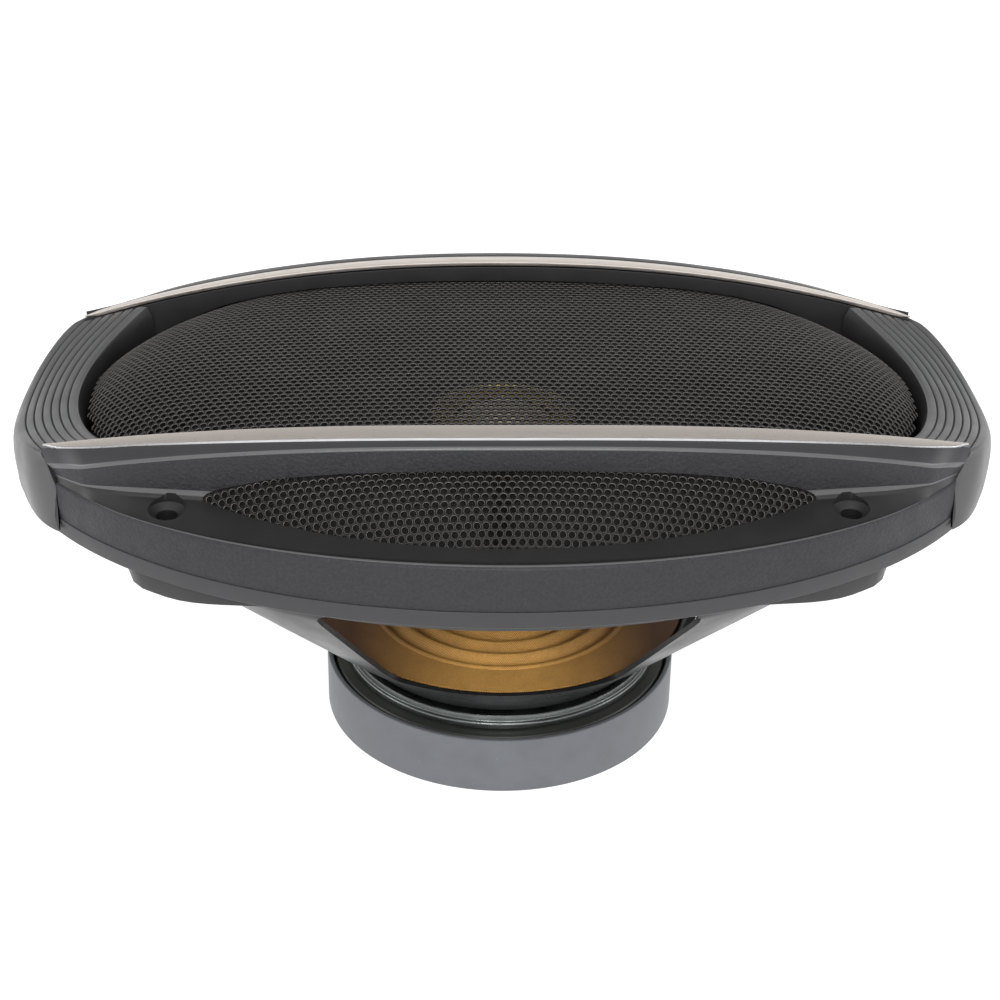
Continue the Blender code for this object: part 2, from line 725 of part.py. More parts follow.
def build_tweeter():
    black = material("tweeter_plastic", (0.02, 0.02, 0.02), 0.4)
    gold = material("tweeter_ring_gold", (0.55, 0.45, 0.2), 0.3, 0.8)
    bright = material("neodymium", (0.6, 0.6, 0.6), 0.3, 1.0)
    film = material("dome_film", (0.5, 0.45, 0.35), 0.3)
    low, top = TWEETER_LOW, TWEETER_TOP
    turned("tweeter_post", [(0, low - GAP), (6.5, low - GAP), (6.5, low - 3), (POST_R, low - 5),
                            (POST_R, 6.0), (0, 6.0)], bright, steps=20)
    turned("tweeter_cup", [(0, low + 1.5), (10.0, low + 1.5), (TWEETER_R - 2, low + 5.4),
                           (TWEETER_R - 2, top - 4), (TWEETER_R, top - 4), (TWEETER_R, low + 5.2),
                           (9.4, low), (0, low)], black, steps=32)
    turned("tweeter_magnet", [(0, low + 6), (9.0, low + 6), (9.0, low + 1.8), (0, low + 1.8)],
           bright, steps=24)
    turned("tweeter_coil", [(9.6, low + 8.5), (10.1, low + 8.5), (10.1, low + 4), (9.6, low + 4)],
           gold, steps=20, closed=True)
    dome = [(9.2, top - 3.6)]
    for i in range(5):
        turn = radians(12 + 78 * i / 4)
        dome.append((DOME_R * cos(turn) * 0.9, top - 3.6 + 4.6 * sin(turn)))
    dome[-1] = (0, dome[-1][1])
    outer = [(r, z) for r, z in reversed(dome)]
    shell = outer + [(12.0, top - 3.6), (12.0, top - 4.1), (8.8, top - 4.1)]
    inside = [(max(0.0, r - 0.5), z - 0.5) for r, z in dome[1:]]
    turned("tweeter_dome", shell + inside, film, steps=20)
    turned("tweeter_ring", [(12.4, top + 0.4), (TWEETER_R, top - 1.2), (TWEETER_R, top - 3.7),
                            (12.4, top - 3.7)], gold, steps=36, closed=True)


def build_terminals():
    board = material("phenolic", (0.25, 0.12, 0.05), 0.7)
    tin = material("tinned_brass", (0.6, 0.58, 0.5), 0.3, 1.0)
    sleeve = material("capacitor_sleeve", (0.02, 0.03, 0.12), 0.4)
    braid = material("tinsel_braid", (0.5, 0.25, 0.12), 0.5, 0.8)
    terminal_set(board, tin, sleeve)
    for word, side in (("plus", 1), ("minus", -1)):
        wire(f"tinsel_lead_{word}", lead_route(side), 0.6, braid)


def build():
    for obj in list(bpy.data.objects):
        bpy.data.objects.remove(obj, do_unlink=True)
    scene = bpy.context.scene.collection
    scene.children.link(PARTS)
    scene.children.link(CUTTERS)
    holes = build_grille()
    build_frame(holes)
    build_motor()
    build_moving()
    build_tweeter()
    build_terminals()


build()
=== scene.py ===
"""Looks of the oval coaxial car speaker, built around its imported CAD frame."""
from math import acos, cos, pi, radians, sin, sqrt, tan

import bmesh
import bpy
import numpy as np
from mathutils import Matrix, Vector


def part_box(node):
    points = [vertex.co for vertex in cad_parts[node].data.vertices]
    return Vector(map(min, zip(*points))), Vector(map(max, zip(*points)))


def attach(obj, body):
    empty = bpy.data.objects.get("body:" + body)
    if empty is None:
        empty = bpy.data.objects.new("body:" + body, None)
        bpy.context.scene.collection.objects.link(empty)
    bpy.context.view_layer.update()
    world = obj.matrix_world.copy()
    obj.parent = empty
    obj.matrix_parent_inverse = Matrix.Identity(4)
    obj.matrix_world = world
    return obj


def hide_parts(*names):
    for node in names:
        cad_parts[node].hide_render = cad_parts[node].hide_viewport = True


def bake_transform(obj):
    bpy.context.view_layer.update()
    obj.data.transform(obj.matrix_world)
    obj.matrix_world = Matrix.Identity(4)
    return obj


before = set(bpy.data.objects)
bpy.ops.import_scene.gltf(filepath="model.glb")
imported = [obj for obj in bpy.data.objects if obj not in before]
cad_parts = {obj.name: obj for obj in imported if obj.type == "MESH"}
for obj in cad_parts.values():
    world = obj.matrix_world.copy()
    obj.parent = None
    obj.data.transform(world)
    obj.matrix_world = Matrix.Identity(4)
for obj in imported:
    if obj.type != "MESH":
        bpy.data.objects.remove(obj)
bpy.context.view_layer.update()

MM = 0.001
FRAME_BODY = "speaker_frame"
CONE_BODY = "cone_assembly"
DOME_BODY = "tweeter_diaphragm"
GAP = 0.3                        # clearance between neighbouring pieces, mm


# Sizes read from the frame, in mm

def low_mm(node):
    """Lowest corner of a CAD node's box, in mm."""
    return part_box(node)[0] / MM


def high_mm(node):
    """Highest corner of a CAD node's box, in mm."""
    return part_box(node)[1] / MM


HALF_LENGTH, HALF_WIDTH, Z_BAND = high_mm("base_ring")
Z_MOUNT = low_mm("base_ring").z
X_TRIM, _, Z_RIDGE = high_mm("trim_strip_front")
X_PART = high_mm("side_panel_front").x
MESH_TOP = high_mm("grille_mesh").z
MESH_EDGE = 0.965                # the mesh ends at this share of the dome's ellipse
MESH_A = high_mm("grille_mesh").x / MESH_EDGE
MESH_B = high_mm("grille_mesh").y / MESH_EDGE
BOOT_R, _, BOOT_H = high_mm("magnet_boot")
LIP_TOP = Z_BAND - 3.0
SCREW_X = 77.4
SCREW_Y = 54.7
SCREW_R = 2.5
SCREW_HEAD_R = 4.3
SCREW_FLOOR = 87.2               # height of the recess where the screws sit
PART_LEAN = 0.06                 # the parting line leans inwards by this much per mm downwards
FLARE = 2.4                      # and runs this much further out at the strips' tips
FLARE_X = 98.0
RIDGE_REACH = 107.6              # half length over which the ridge and the strip curve
RIDGE_Y = 46.5
RIDGE_CURVE = 11.1
RIDGE_FALL = 10.6
SHOULDER_REACH = 102.5
SHOULDER_Y = 55.7
SHOULDER_Z = 102.2
LIP_Z = 87.3                     # upper edge of the panels' outer wall, at the middle
FOOT_Z = 88.4                    # foot of the ridge wall, at the middle
TRIM_TAPER_X = 87.0              # the strip narrows slowly up to here, then faster
TRIM_TILT = tan(radians(7))
LIP_AXES = (119.4, 82.4)         # half axes of the panels' upper edge
BAND_AXES = (119.7, 83.2)        # and of their lower edge
CAP_FOOT = Z_BAND - 2.6
MESH_SAG = 4.6                   # fall of the mesh dome towards its rim
MESH_ROLL = 12.0                 # and how much more it rolls down at the rim
MESH_MEAN = 86.0                 # mean half axis, for the slope of the roll

STEEL = 1.2                      # pressed steel of the basket
FLANGE_A = high_mm("basket").x
FLANGE_B = high_mm("basket").y
FLANGE_Z = high_mm("basket").z - STEEL / 2
LEDGE_Z = FLANGE_Z - 3.8
EAR_BULGE = 3.8
EAR_DEPTH = 3.0
WALL_HIGH = (97.0, 69.5, 62.0)   # the flared wall runs between these: half axes and height
WALL_LOW = (47.5, 43.5, 27.2)
WINDOW_LOW = 29.0
WINDOW_HIGH = 63.5

PLATE_R, _, PLATE_TOP = high_mm("top_plate")
PLATE_LOW = low_mm("top_plate").z
MAGNET_R, _, MAGNET_TOP = high_mm("magnet")
MAGNET_LOW = low_mm("magnet").z
YOKE_R, _, POLE_TOP = high_mm("t_yoke")
YOKE_LOW = low_mm("t_yoke").z
YOKE_TOP = 6.4
POLE_R = 14.0
VENT_R = 4.0
PLATE_HOLE_R = 16.7
MAGNET_HOLE_R = 22.0

SPIDER_A, SPIDER_B, SPIDER_TOP = high_mm("spider")
SPIDER_IN = 15.3
SPIDER_WAVES_R = 33.6            # the waves end here and the glued flat begins
SPIDER_PITCH = 5.5
CONE_A, CONE_B, CONE_TOP = high_mm("cone")
CONE_THICK = 0.7
CONE_NECK_Z = 33.0
CONE_NECK_R = 15.3
ROLL_MIDDLE = 7.2                # the surround's half roll, from the cone's rim
ROLL_R = 4.9
EDGE_THICK = 0.8
TWEETER_R = high_mm("tweeter_cup").x
TWEETER_LOW = low_mm("tweeter_cup").z
TWEETER_TOP = high_mm("tweeter_cup").z + 4.0


# Grille lines

def ridge_y(x):
    """Inner edge of the trim strip."""
    return RIDGE_Y - RIDGE_CURVE * (x / RIDGE_REACH) ** 2


def ridge_z(x):
    """Height of the trim strip's inner edge."""
    return Z_RIDGE - RIDGE_FALL * (abs(x) / RIDGE_REACH) ** 2.3


def trim_width(x):
    """Width of the trim strip, narrowing towards its tips."""
    reach = abs(x) / TRIM_TAPER_X
    if reach < 1.0:
        return 5.9 - 1.9 * reach ** 3
    return 4.0 - 2.6 * ((abs(x) - TRIM_TAPER_X) / 20.4) ** 2


def shoulder(x):
    """Edge where the smooth slope beside the trim ends, as (y, z)."""
    reach = abs(x) / SHOULDER_REACH
    fall = reach ** 12
    y = SHOULDER_Y - 9.5 * reach ** 2 - 3.3 * fall
    z = SHOULDER_Z - 10.4 * reach ** 2.3 - 1.8 * fall
    return y, z


def oval_y(x, a, b):
    """The y of an ellipse of half axes a, b at x."""
    return b * sqrt(max(0.0, 1.0 - (x / a) ** 2))


def mesh_z(x, y):
    """Height of the mesh dome: nearly flat in the middle, rolling down at its rim."""
    rho2 = (x / MESH_A) ** 2 + (y / MESH_B) ** 2
    return MESH_TOP - MESH_SAG * rho2 - MESH_ROLL * rho2 ** 5


def part_reach(z):
    """The x where side panels meet the end caps at height z."""
    return X_PART - PART_LEAN * (93.0 - z)


def smooth_share(value):
    """Smooth step from 0 to 1."""
    s = min(1.0, max(0.0, value))
    return s * s * (3 - 2 * s)


def flare(z):
    """How much further out the parting line runs near the strips' tips."""
    return FLARE * smooth_share((z - 87.0) / 4.0)


def leaned(x, z):
    """Station x of a side panel, following the parting line at height z."""
    near_end = max(0.0, (abs(x) - FLARE_X) / (X_PART - FLARE_X))
    out = flare(z) * near_end ** 2
    return x * part_reach(z) / X_PART + (out if x > 0 else -out)


# Mesh helpers

def add_object(name, data):
    """A new object in the scene."""
    obj = bpy.data.objects.new(name, data)
    bpy.context.scene.collection.objects.link(obj)
    return obj


def edit_mesh(mesh, change):
    """Let a function change the faces or points of a mesh."""
    form = bmesh.new()
    form.from_mesh(mesh)
    change(form)
    form.to_mesh(mesh)
    form.free()


def shade(mesh, sharp=32):
    """Smooth shading, up to an angle in degrees."""
    mesh.shade_smooth()
    mesh.set_sharp_from_angle(angle=radians(sharp))


def add_mesh(name, verts, faces, materials, face_slots=None, sharp=32):
    """A new object from points in mm, shaded smooth up to an angle."""
    mesh = bpy.data.meshes.new(name)
    mesh.from_pydata([(x * MM, y * MM, z * MM) for x, y, z in verts], [], faces)
    for mat in materials:
        mesh.materials.append(mat)
    if face_slots is not None:
        mesh.polygons.foreach_set("material_index", np.array(face_slots, np.int32))
    edit_mesh(mesh, lambda form: bmesh.ops.recalc_face_normals(form, faces=form.faces))
    shade(mesh, sharp)
    return add_object(name, mesh)


def skin(name, sections, materials, ring=False, slots=None, sharp=32):
    """Skin a row of closed sections; slots gives each section segment's material index."""
    count = len(sections[0])
    verts = [p for section in sections for p in section]
    faces = []
    face_slots = []
    spans = len(sections) if ring else len(sections) - 1
    for i in range(spans):
        here, there = i * count, (i + 1) % len(sections) * count
        for k in range(count):
            nxt = (k + 1) % count
            faces.append((here + k, here + nxt, there + nxt, there + k))
            face_slots.append(slots[k] if slots else 0)
    if not ring:
        last = (len(sections) - 1) * count
        faces.append(tuple(range(count)))
        faces.append(tuple(last + k for k in range(count)))
        face_slots += [0, 0]
    return add_mesh(name, verts, faces, materials, face_slots, sharp)


def around(steps):
    """Angles of a full turn."""
    return [2 * pi * i / steps for i in range(steps)]


def oval_ring(name, profile, mat, steps):
    """A ring whose profile is a closed list of (half axis a, half axis b, height)."""
    sections = [[(a * cos(t), b * sin(t), z) for a, b, z in profile] for t in around(steps)]
    return skin(name, sections, [mat], ring=True)


def turned(name, profile, mat, steps):
    """A turned ring from a closed profile of (radius, height)."""
    return oval_ring(name, [(r, r, z) for r, z in profile], mat, steps)


def stations(reach, steps):
    """Places from -reach to reach, closer together towards both ends."""
    return [reach * sin(pi / 2 * (2 * i / steps - 1)) for i in range(steps + 1)]


def arc_corner(before, here, after, radius, steps):
    """Points of a fillet at one corner, clamped to half of its shorter side."""
    back = Vector(before) - Vector(here)
    ahead = Vector(after) - Vector(here)
    if radius <= 0 or back.length < 1e-6 or ahead.length < 1e-6:
        return [tuple(here)] * (steps + 1)
    reach = min(radius, 0.45 * back.length, 0.45 * ahead.length)
    start = Vector(here) + back.normalized() * reach
    end = Vector(here) + ahead.normalized() * reach
    points = []
    for i in range(steps + 1):
        s = i / steps
        points.append(tuple(start * (1 - s) ** 2 + Vector(here) * 2 * s * (1 - s) + end * s ** 2))
    return points


def rounded(points, radii, steps=3):
    """A closed outline with each corner rounded; every corner gives steps + 1 points."""
    smooth = []
    for i, here in enumerate(points):
        before, after = points[i - 1], points[(i + 1) % len(points)]
        smooth += arc_corner(before, here, after, radii[i], steps)
    return smooth


def per_corner(corners, steps=3):
    """Material index for each span of a rounded outline: a corner's arc, then its far side."""
    slots = []
    for corner in corners:
        slots += [corner[4]] * steps + [corner[3]]
    return slots


def cut(target, tools):
    """Cut the tools out of a target and keep the result as its mesh."""
    for tool in tools:
        boolean = target.modifiers.new("cut", "BOOLEAN")
        boolean.operation = "DIFFERENCE"
        boolean.solver = "EXACT"
        boolean.object = tool
    bake_modifiers(target)
    for tool in tools:
        bpy.data.objects.remove(tool, do_unlink=True)


def bake_modifiers(obj):
    """Replace an object's mesh with what its modifiers make of it."""
    bpy.context.view_layer.update()
    graph = bpy.context.evaluated_depsgraph_get()
    mesh = bpy.data.meshes.new_from_object(obj.evaluated_get(graph))
    obj.modifiers.clear()
    old = obj.data
    obj.data = mesh
    bpy.data.meshes.remove(old)
    mesh.name = obj.name
    shade(mesh)


def finish_piece(obj, body, node):
    """Attach a piece to the body it rides on and hide the CAD node it stands for."""
    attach(obj, body)
    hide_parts(node)


# Materials

class Shader:
    """A Principled material with a few named procedural layers."""

    def __init__(self, name, colour, roughness, metallic=0.0):
        self.mat = bpy.data.materials.new(name)
        self.mat.use_nodes = True
        self.tree = self.mat.node_tree
        self.out = self.tree.nodes["Principled BSDF"]
        self.colour = colour
        self.out.inputs["Base Color"].default_value = (*colour, 1.0)
        self.out.inputs["Roughness"].default_value = roughness
        self.out.inputs["Metallic"].default_value = metallic
        self.coords = self.node("ShaderNodeTexCoord").outputs["Object"]
        self.mat.diffuse_color = (*colour, 1.0)

    def node(self, kind, **settings):
        """A new node with settings of its own."""
        made = self.tree.nodes.new(kind)
        for key, value in settings.items():
            setattr(made, key, value)
        return made

    def link(self, source, target):
        self.tree.links.new(source, target)

    def stretched(self, scale):
        """Object coordinates scaled by a different amount along each axis."""
        mapping = self.node("ShaderNodeMapping")
        mapping.inputs["Scale"].default_value = scale
        self.link(self.coords, mapping.inputs["Vector"])
        return mapping.outputs["Vector"]

    def noise(self, size_mm, detail=3.0, stretch=(1, 1, 1), distortion=0.0):
        """Noise with features of about size_mm."""
        made = self.node("ShaderNodeTexNoise")
        made.inputs["Scale"].default_value = 1.0 / (size_mm * MM)
        made.inputs["Detail"].default_value = detail
        made.inputs["Distortion"].default_value = distortion
        self.link(self.stretched(stretch), made.inputs["Vector"])
        return made.outputs["Fac"]

    def cells(self, size_mm, feature="F1"):
        """Voronoi cells of about size_mm, as distance."""
        made = self.node("ShaderNodeTexVoronoi", feature=feature)
        made.inputs["Scale"].default_value = 1.0 / (size_mm * MM)
        self.link(self.coords, made.inputs["Vector"])
        return made.outputs["Distance"]

    def axes(self):
        """Object coordinates as separate X, Y and Z."""
        parts = self.node("ShaderNodeSeparateXYZ")
        self.link(self.coords, parts.inputs["Vector"])
        return parts.outputs

    def ramp(self, source, low, high, a, b):
        """Map a value between low and high to a range a..b."""
        made = self.node("ShaderNodeMapRange")
        for socket, value in (("From Min", low), ("From Max", high), ("To Min", a), ("To Max", b)):
            made.inputs[socket].default_value = value
        self.link(source, made.inputs["Value"])
        return made.outputs["Result"]

    def math(self, operation, first, second=0.0):
        """A Math node over one or two sources or numbers."""
        made = self.node("ShaderNodeMath", operation=operation)
        for socket, value in zip(made.inputs, (first, second)):
            if isinstance(value, (int, float)):
                socket.default_value = value
            else:
                self.link(value, socket)
        return made.outputs["Value"]

    def sine(self, source, rate):
        """Sine of a source at a rate per metre."""
        return self.math("SINE", self.math("MULTIPLY", source, rate))

    def mix_colour(self, factor, first, second):
        """Blend two colours, or a colour over a source, by a factor."""
        made = self.node("ShaderNodeMix", data_type="RGBA")
        self.link(factor, made.inputs["Factor"])
        for socket, value in ((made.inputs["A"], first), (made.inputs["B"], second)):
            if isinstance(value, tuple):
                socket.default_value = (*value, 1.0)
            else:
                self.link(value, socket)
        return made.outputs["Result"]

    def set_colour(self, source):
        """Drive the base colour."""
        self.link(source, self.out.inputs["Base Color"])

    def vary_colour(self, factor, other):
        """Drift from the base colour towards another by a factor."""
        self.set_colour(self.mix_colour(factor, self.colour, other))

    def tone(self, source, low, high, amount, share, lift=0.0):
        """Drift to a lighter or darker tone as a source goes from low to high."""
        self.vary_colour(self.ramp(source, low, high, 0.0, amount), tint(self.colour, share, lift))

    def vary_roughness(self, factor, low, high):
        """Drive the roughness between two values."""
        self.link(self.ramp(factor, 0.3, 0.7, low, high), self.out.inputs["Roughness"])

    def bump(self, source, depth_mm, strength):
        """Add a bump of a depth in mm."""
        made = self.node("ShaderNodeBump")
        made.inputs["Strength"].default_value = strength
        made.inputs["Distance"].default_value = depth_mm * MM
        self.link(source, made.inputs["Height"])
        self.link(made.outputs["Normal"], self.out.inputs["Normal"])

    def set(self, **sockets):
        """Constants on the shader's own sockets, words joined by underscores."""
        for key, value in sockets.items():
            self.out.inputs[key.replace("_", " ")].default_value = value


def tint(colour, share, lift=0.0):
    """A colour made lighter or darker."""
    return tuple(min(1.0, c * share + lift) for c in colour)


def smooth_plastic(name, colour, roughness):
    """Satin moulded plastic: faint cloud in gloss, hairline scuffs and a very fine orange peel."""
    made = Shader(name, colour, roughness)
    cloud = made.noise(9.0)
    made.vary_roughness(cloud, roughness - 0.05, roughness + 0.07)
    made.tone(made.noise(2.5, 4), 0.35, 0.75, 0.35, 1.25)
    made.bump(made.noise(0.35, 2), 0.012, 0.5)
    return made.mat


def grained_plastic(name, colour, roughness):
    """Spark-eroded moulding grain: pebbled cells with a painted glint, a lighter colour, on their crowns.
    """
    made = Shader(name, colour, roughness)
    pebbles = made.cells(0.75, "SMOOTH_F1")
    fine = made.noise(0.28, 3)
    height = made.math("ADD", made.math("MULTIPLY", pebbles, -0.8), made.math("MULTIPLY", fine, 0.7))
    made.bump(height, 0.16, 0.8)
    # painted glint: the pebbles' crowns are coloured lighter
    painted_crown_glint = made.math("ADD", fine, made.math("MULTIPLY", pebbles, -0.4))
    made.tone(painted_crown_glint, 0.2, 0.5, 1.0, 1.7)
    made.vary_roughness(made.noise(6.0), roughness - 0.06, roughness + 0.08)
    made.set(Specular_IOR_Level=0.36)
    return made.mat


def brushed_metal(name, colour, roughness, stretch, grain_mm=0.25):
    """Metal with a directional grain: stretch is small along the brushing."""
    made = Shader(name, colour, roughness, 1.0)
    lines = made.noise(grain_mm, 4, stretch)
    made.vary_roughness(lines, roughness - 0.07, roughness + 0.1)
    made.tone(lines, 0.3, 0.7, 1.0, 0.86)
    made.bump(lines, 0.02, 0.35)
    return made.mat


def turned_metal(name, colour, roughness):
    """Zinc-plated turned steel: rings of the lathe, plating speckle and stains."""
    made = Shader(name, colour, roughness, 1.0)
    pitch_mm = 0.35
    wave = made.node("ShaderNodeTexWave", wave_type="RINGS", rings_direction="Z")
    wave.inputs["Scale"].default_value = 0.32 / (pitch_mm * MM)
    wave.inputs["Distortion"].default_value = 0.6
    made.link(made.coords, wave.inputs["Vector"])
    speckle = made.cells(0.5)
    stains = made.noise(5.0, 5, distortion=0.4)
    made.vary_roughness(stains, roughness - 0.06, roughness + 0.14)
    patchy = made.ramp(stains, 0.35, 0.65, 0.3, 1)
    dull = made.math("MULTIPLY", made.ramp(speckle, 0.15, 0.5, 0.0, 0.6), patchy)
    made.vary_colour(dull, tint(colour, 0.5))
    height = made.math("ADD", made.math("MULTIPLY", wave.outputs["Fac"], 0.5), speckle)
    made.bump(height, 0.03, 0.5)
    return made.mat


def painted_steel(name, colour, roughness, metallic=0.0, gloss=0.5):
    """Electro-coated pressed steel: faint draw lines, dust and an orange peel."""
    made = Shader(name, colour, roughness, metallic)
    made.set(Specular_IOR_Level=gloss)
    made.bump(made.noise(1.3, 2), 0.03, 0.3)
    made.vary_roughness(made.noise(12.0, 4), roughness - 0.05, roughness + 0.08)
    made.tone(made.noise(18.0, 5, distortion=0.6), 0.4, 0.7, 0.5, 1.25, 0.004)
    return made.mat


def rubber(name, colour, roughness):
    """Moulded rubber: matt, slightly cloudy, with a few light specks."""
    made = Shader(name, colour, roughness)
    cloud = made.noise(7.0, 5, distortion=0.3)
    specks = made.ramp(made.cells(3.2), 0.03, 0.06, 1.0, 0.0)
    base = made.mix_colour(made.ramp(cloud, 0.35, 0.7, 0.0, 1.0), colour, tint(colour, 1.16))
    made.set_colour(made.mix_colour(specks, base, tint(colour, 1.8)))
    made.vary_roughness(cloud, roughness - 0.06, roughness + 0.06)
    made.bump(made.noise(0.5, 3), 0.02, 0.4)
    return made.mat


def paper(name, colour, roughness):
    """Pressed paper pulp with fibres."""
    made = Shader(name, colour, roughness)
    fibres = made.noise(0.5, 6, distortion=1.2)
    made.tone(fibres, 0.35, 0.7, 1.0, 1.6)
    made.bump(fibres, 0.08, 0.6)
    return made.mat


def woven_cloth(name, colour, dark, thread_mm):
    """Plain weave laid at 45 degrees, stiff with resin, with painted shade that darkens it towards both
    ends of the long axis.
    """
    made = Shader(name, colour, 0.62)
    axes = made.axes()
    rate = pi / (thread_mm * MM)
    warp = made.sine(made.math("ADD", axes["X"], axes["Y"]), rate)
    weft = made.sine(made.math("SUBTRACT", axes["X"], axes["Y"]), rate)
    threads = made.math("ABSOLUTE", made.math("MULTIPLY", warp, weft))
    weave = made.math("ADD", threads, made.math("MULTIPLY", made.noise(0.6, 3), 0.3))
    pores = made.ramp(weave, 0.08, 0.42, 0.0, 1.0)
    uneven = made.ramp(made.noise(4.0, 4), 0.35, 0.7, 0.0, 0.45)
    warm = made.mix_colour(uneven, colour, tint(colour, 0.72))
    # painted shade: the weave fades to the dark colour from 8 mm to 38 mm off the middle, towards left and
    # right
    painted_side_shade = made.ramp(made.math("ABSOLUTE", axes["X"]), 8.0 * MM, 38.0 * MM, 1.0, 0.04)
    made.set_colour(made.mix_colour(made.math("MULTIPLY", pores, painted_side_shade), dark, warm))
    made.bump(weave, 0.12, 0.7)
    return made.mat


def film(name, colour, roughness, metallic=0.0):
    """Formed polymer film with a faint press texture."""
    made = Shader(name, colour, roughness, metallic)
    grain = made.noise(0.4, 3)
    made.tone(grain, 0.35, 0.7, 0.6, 0.75)
    made.vary_roughness(made.noise(3.0), roughness - 0.05, roughness + 0.08)
    made.bump(grain, 0.01, 0.4)
    return made.mat


def wound_wire(name, colour, pitch_mm):
    """Turns of enamelled or braided wire, stacked along Z."""
    made = Shader(name, colour, 0.35, 0.9)
    turns = made.math("ABSOLUTE", made.sine(made.axes()["Z"], pi / (pitch_mm * MM)))
    made.vary_colour(made.ramp(turns, 0.0, 0.5, 1.0, 0.0), tint(colour, 0.3))
    made.bump(turns, pitch_mm * 0.4, 0.9)
    return made.mat


def floor_material():
    """Pale paper sweep with a faint tooth."""
    made = Shader("studio_floor", (0.55, 0.55, 0.55), 0.9)
    made.vary_colour(made.ramp(made.noise(40.0, 3), 0.3, 0.7, 0.0, 0.5), (0.54, 0.54, 0.542))
    made.bump(made.noise(0.8, 2), 0.02, 0.2)
    made.set(Specular_IOR_Level=0.1, Emission_Color=(1.0, 1.0, 1.0, 1.0), Emission_Strength=0.75)
    return made.mat


SMOOTH = smooth_plastic("satin_charcoal_plastic", (0.022, 0.022, 0.024), 0.42)
CAP = smooth_plastic("end_cap_plastic", (0.064, 0.064, 0.065), 0.4)
INNER = smooth_plastic("matt_black_plastic", (0.010, 0.009, 0.010), 0.5)
RECESS = smooth_plastic("recess_plastic", (0.010, 0.0095, 0.0095), 0.38)
GRAIN = grained_plastic("grained_charcoal_plastic", (0.013, 0.013, 0.015), 0.46)
# a lighter grey painted on the side panels' rounded edges as a highlight
PAINTED_EDGE_HIGHLIGHT = smooth_plastic("edge_painted_highlight_plastic", (0.08, 0.08, 0.082), 0.3)
TRIM = brushed_metal("champagne_strip", (0.74, 0.675, 0.62), 0.34, (0.03, 1, 1))
BRIGHT = brushed_metal("silver_chamfer", (0.52, 0.52, 0.53), 0.3, (0.03, 1, 1))
MESH = painted_steel("black_coated_mesh", (0.006, 0.005, 0.0045), 0.5, 0.0, 0.2)
# a lighter colour on the mesh holes' rounded edges as a painted highlight
HOLE_RIM_PAINTED_HIGHLIGHT = painted_steel("mesh_hole_rims_painted_highlight", (0.085, 0.08, 0.077), 0.28)
BASKET = painted_steel("basket_coating", (0.02, 0.02, 0.021), 0.3, 0.0, 0.35)
CARD = paper("clamp_card", (0.02, 0.019, 0.018), 0.85)
BOOT = rubber("boot_grey_rubber", (0.105, 0.111, 0.122), 0.45)
ZINC = turned_metal("zinc_plated_steel", (0.19, 0.205, 0.20), 0.3)
FERRITE = painted_steel("ferrite_ceramic", (0.035, 0.037, 0.032), 0.35, 0.2)
CONE = paper("cone_pulp", (0.012, 0.012, 0.013), 0.7)
EDGE = rubber("surround_rubber", (0.008, 0.008, 0.008), 0.55)
# the second colour fills the weave's pores and is also the painted shade at the spider's left and right
CLOTH = woven_cloth("spider_weave", (0.90, 0.48, 0.12), (0.12, 0.045, 0.012), 0.55)
KAPTON = film("former_polyimide", (0.32, 0.12, 0.03), 0.3)
COPPER = wound_wire("coil_winding", (0.62, 0.26, 0.1), 0.32)
TWEETER = smooth_plastic("tweeter_black_plastic", (0.012, 0.012, 0.012), 0.36)
GOLD = brushed_metal("tweeter_gold_ring", (0.78, 0.62, 0.26), 0.25, (1, 1, 0.1), 0.3)
NICKEL = brushed_metal("nickel_plate", (0.62, 0.61, 0.58), 0.25, (1, 1, 0.05), 0.3)
DOME = film("dome_silk_film", (0.62, 0.55, 0.4), 0.3, 0.3)
PHENOL = paper("phenolic_board", (0.2, 0.085, 0.03), 0.55)
TIN = brushed_metal("tinned_brass_blade", (0.66, 0.63, 0.52), 0.3, (1, 1, 0.05), 0.2)
SLEEVE = film("capacitor_sleeve_film", (0.015, 0.03, 0.14), 0.28)
BRAID = wound_wire("tinsel_braid_wire", (0.55, 0.3, 0.14), 0.4)


# Grille pieces

PANEL_SLOTS = [INNER, SMOOTH, GRAIN, RECESS, PAINTED_EDGE_HIGHLIGHT]
S_INNER, S_SMOOTH, S_GRAIN, S_RECESS, S_PAINTED_HIGHLIGHT = range(5)


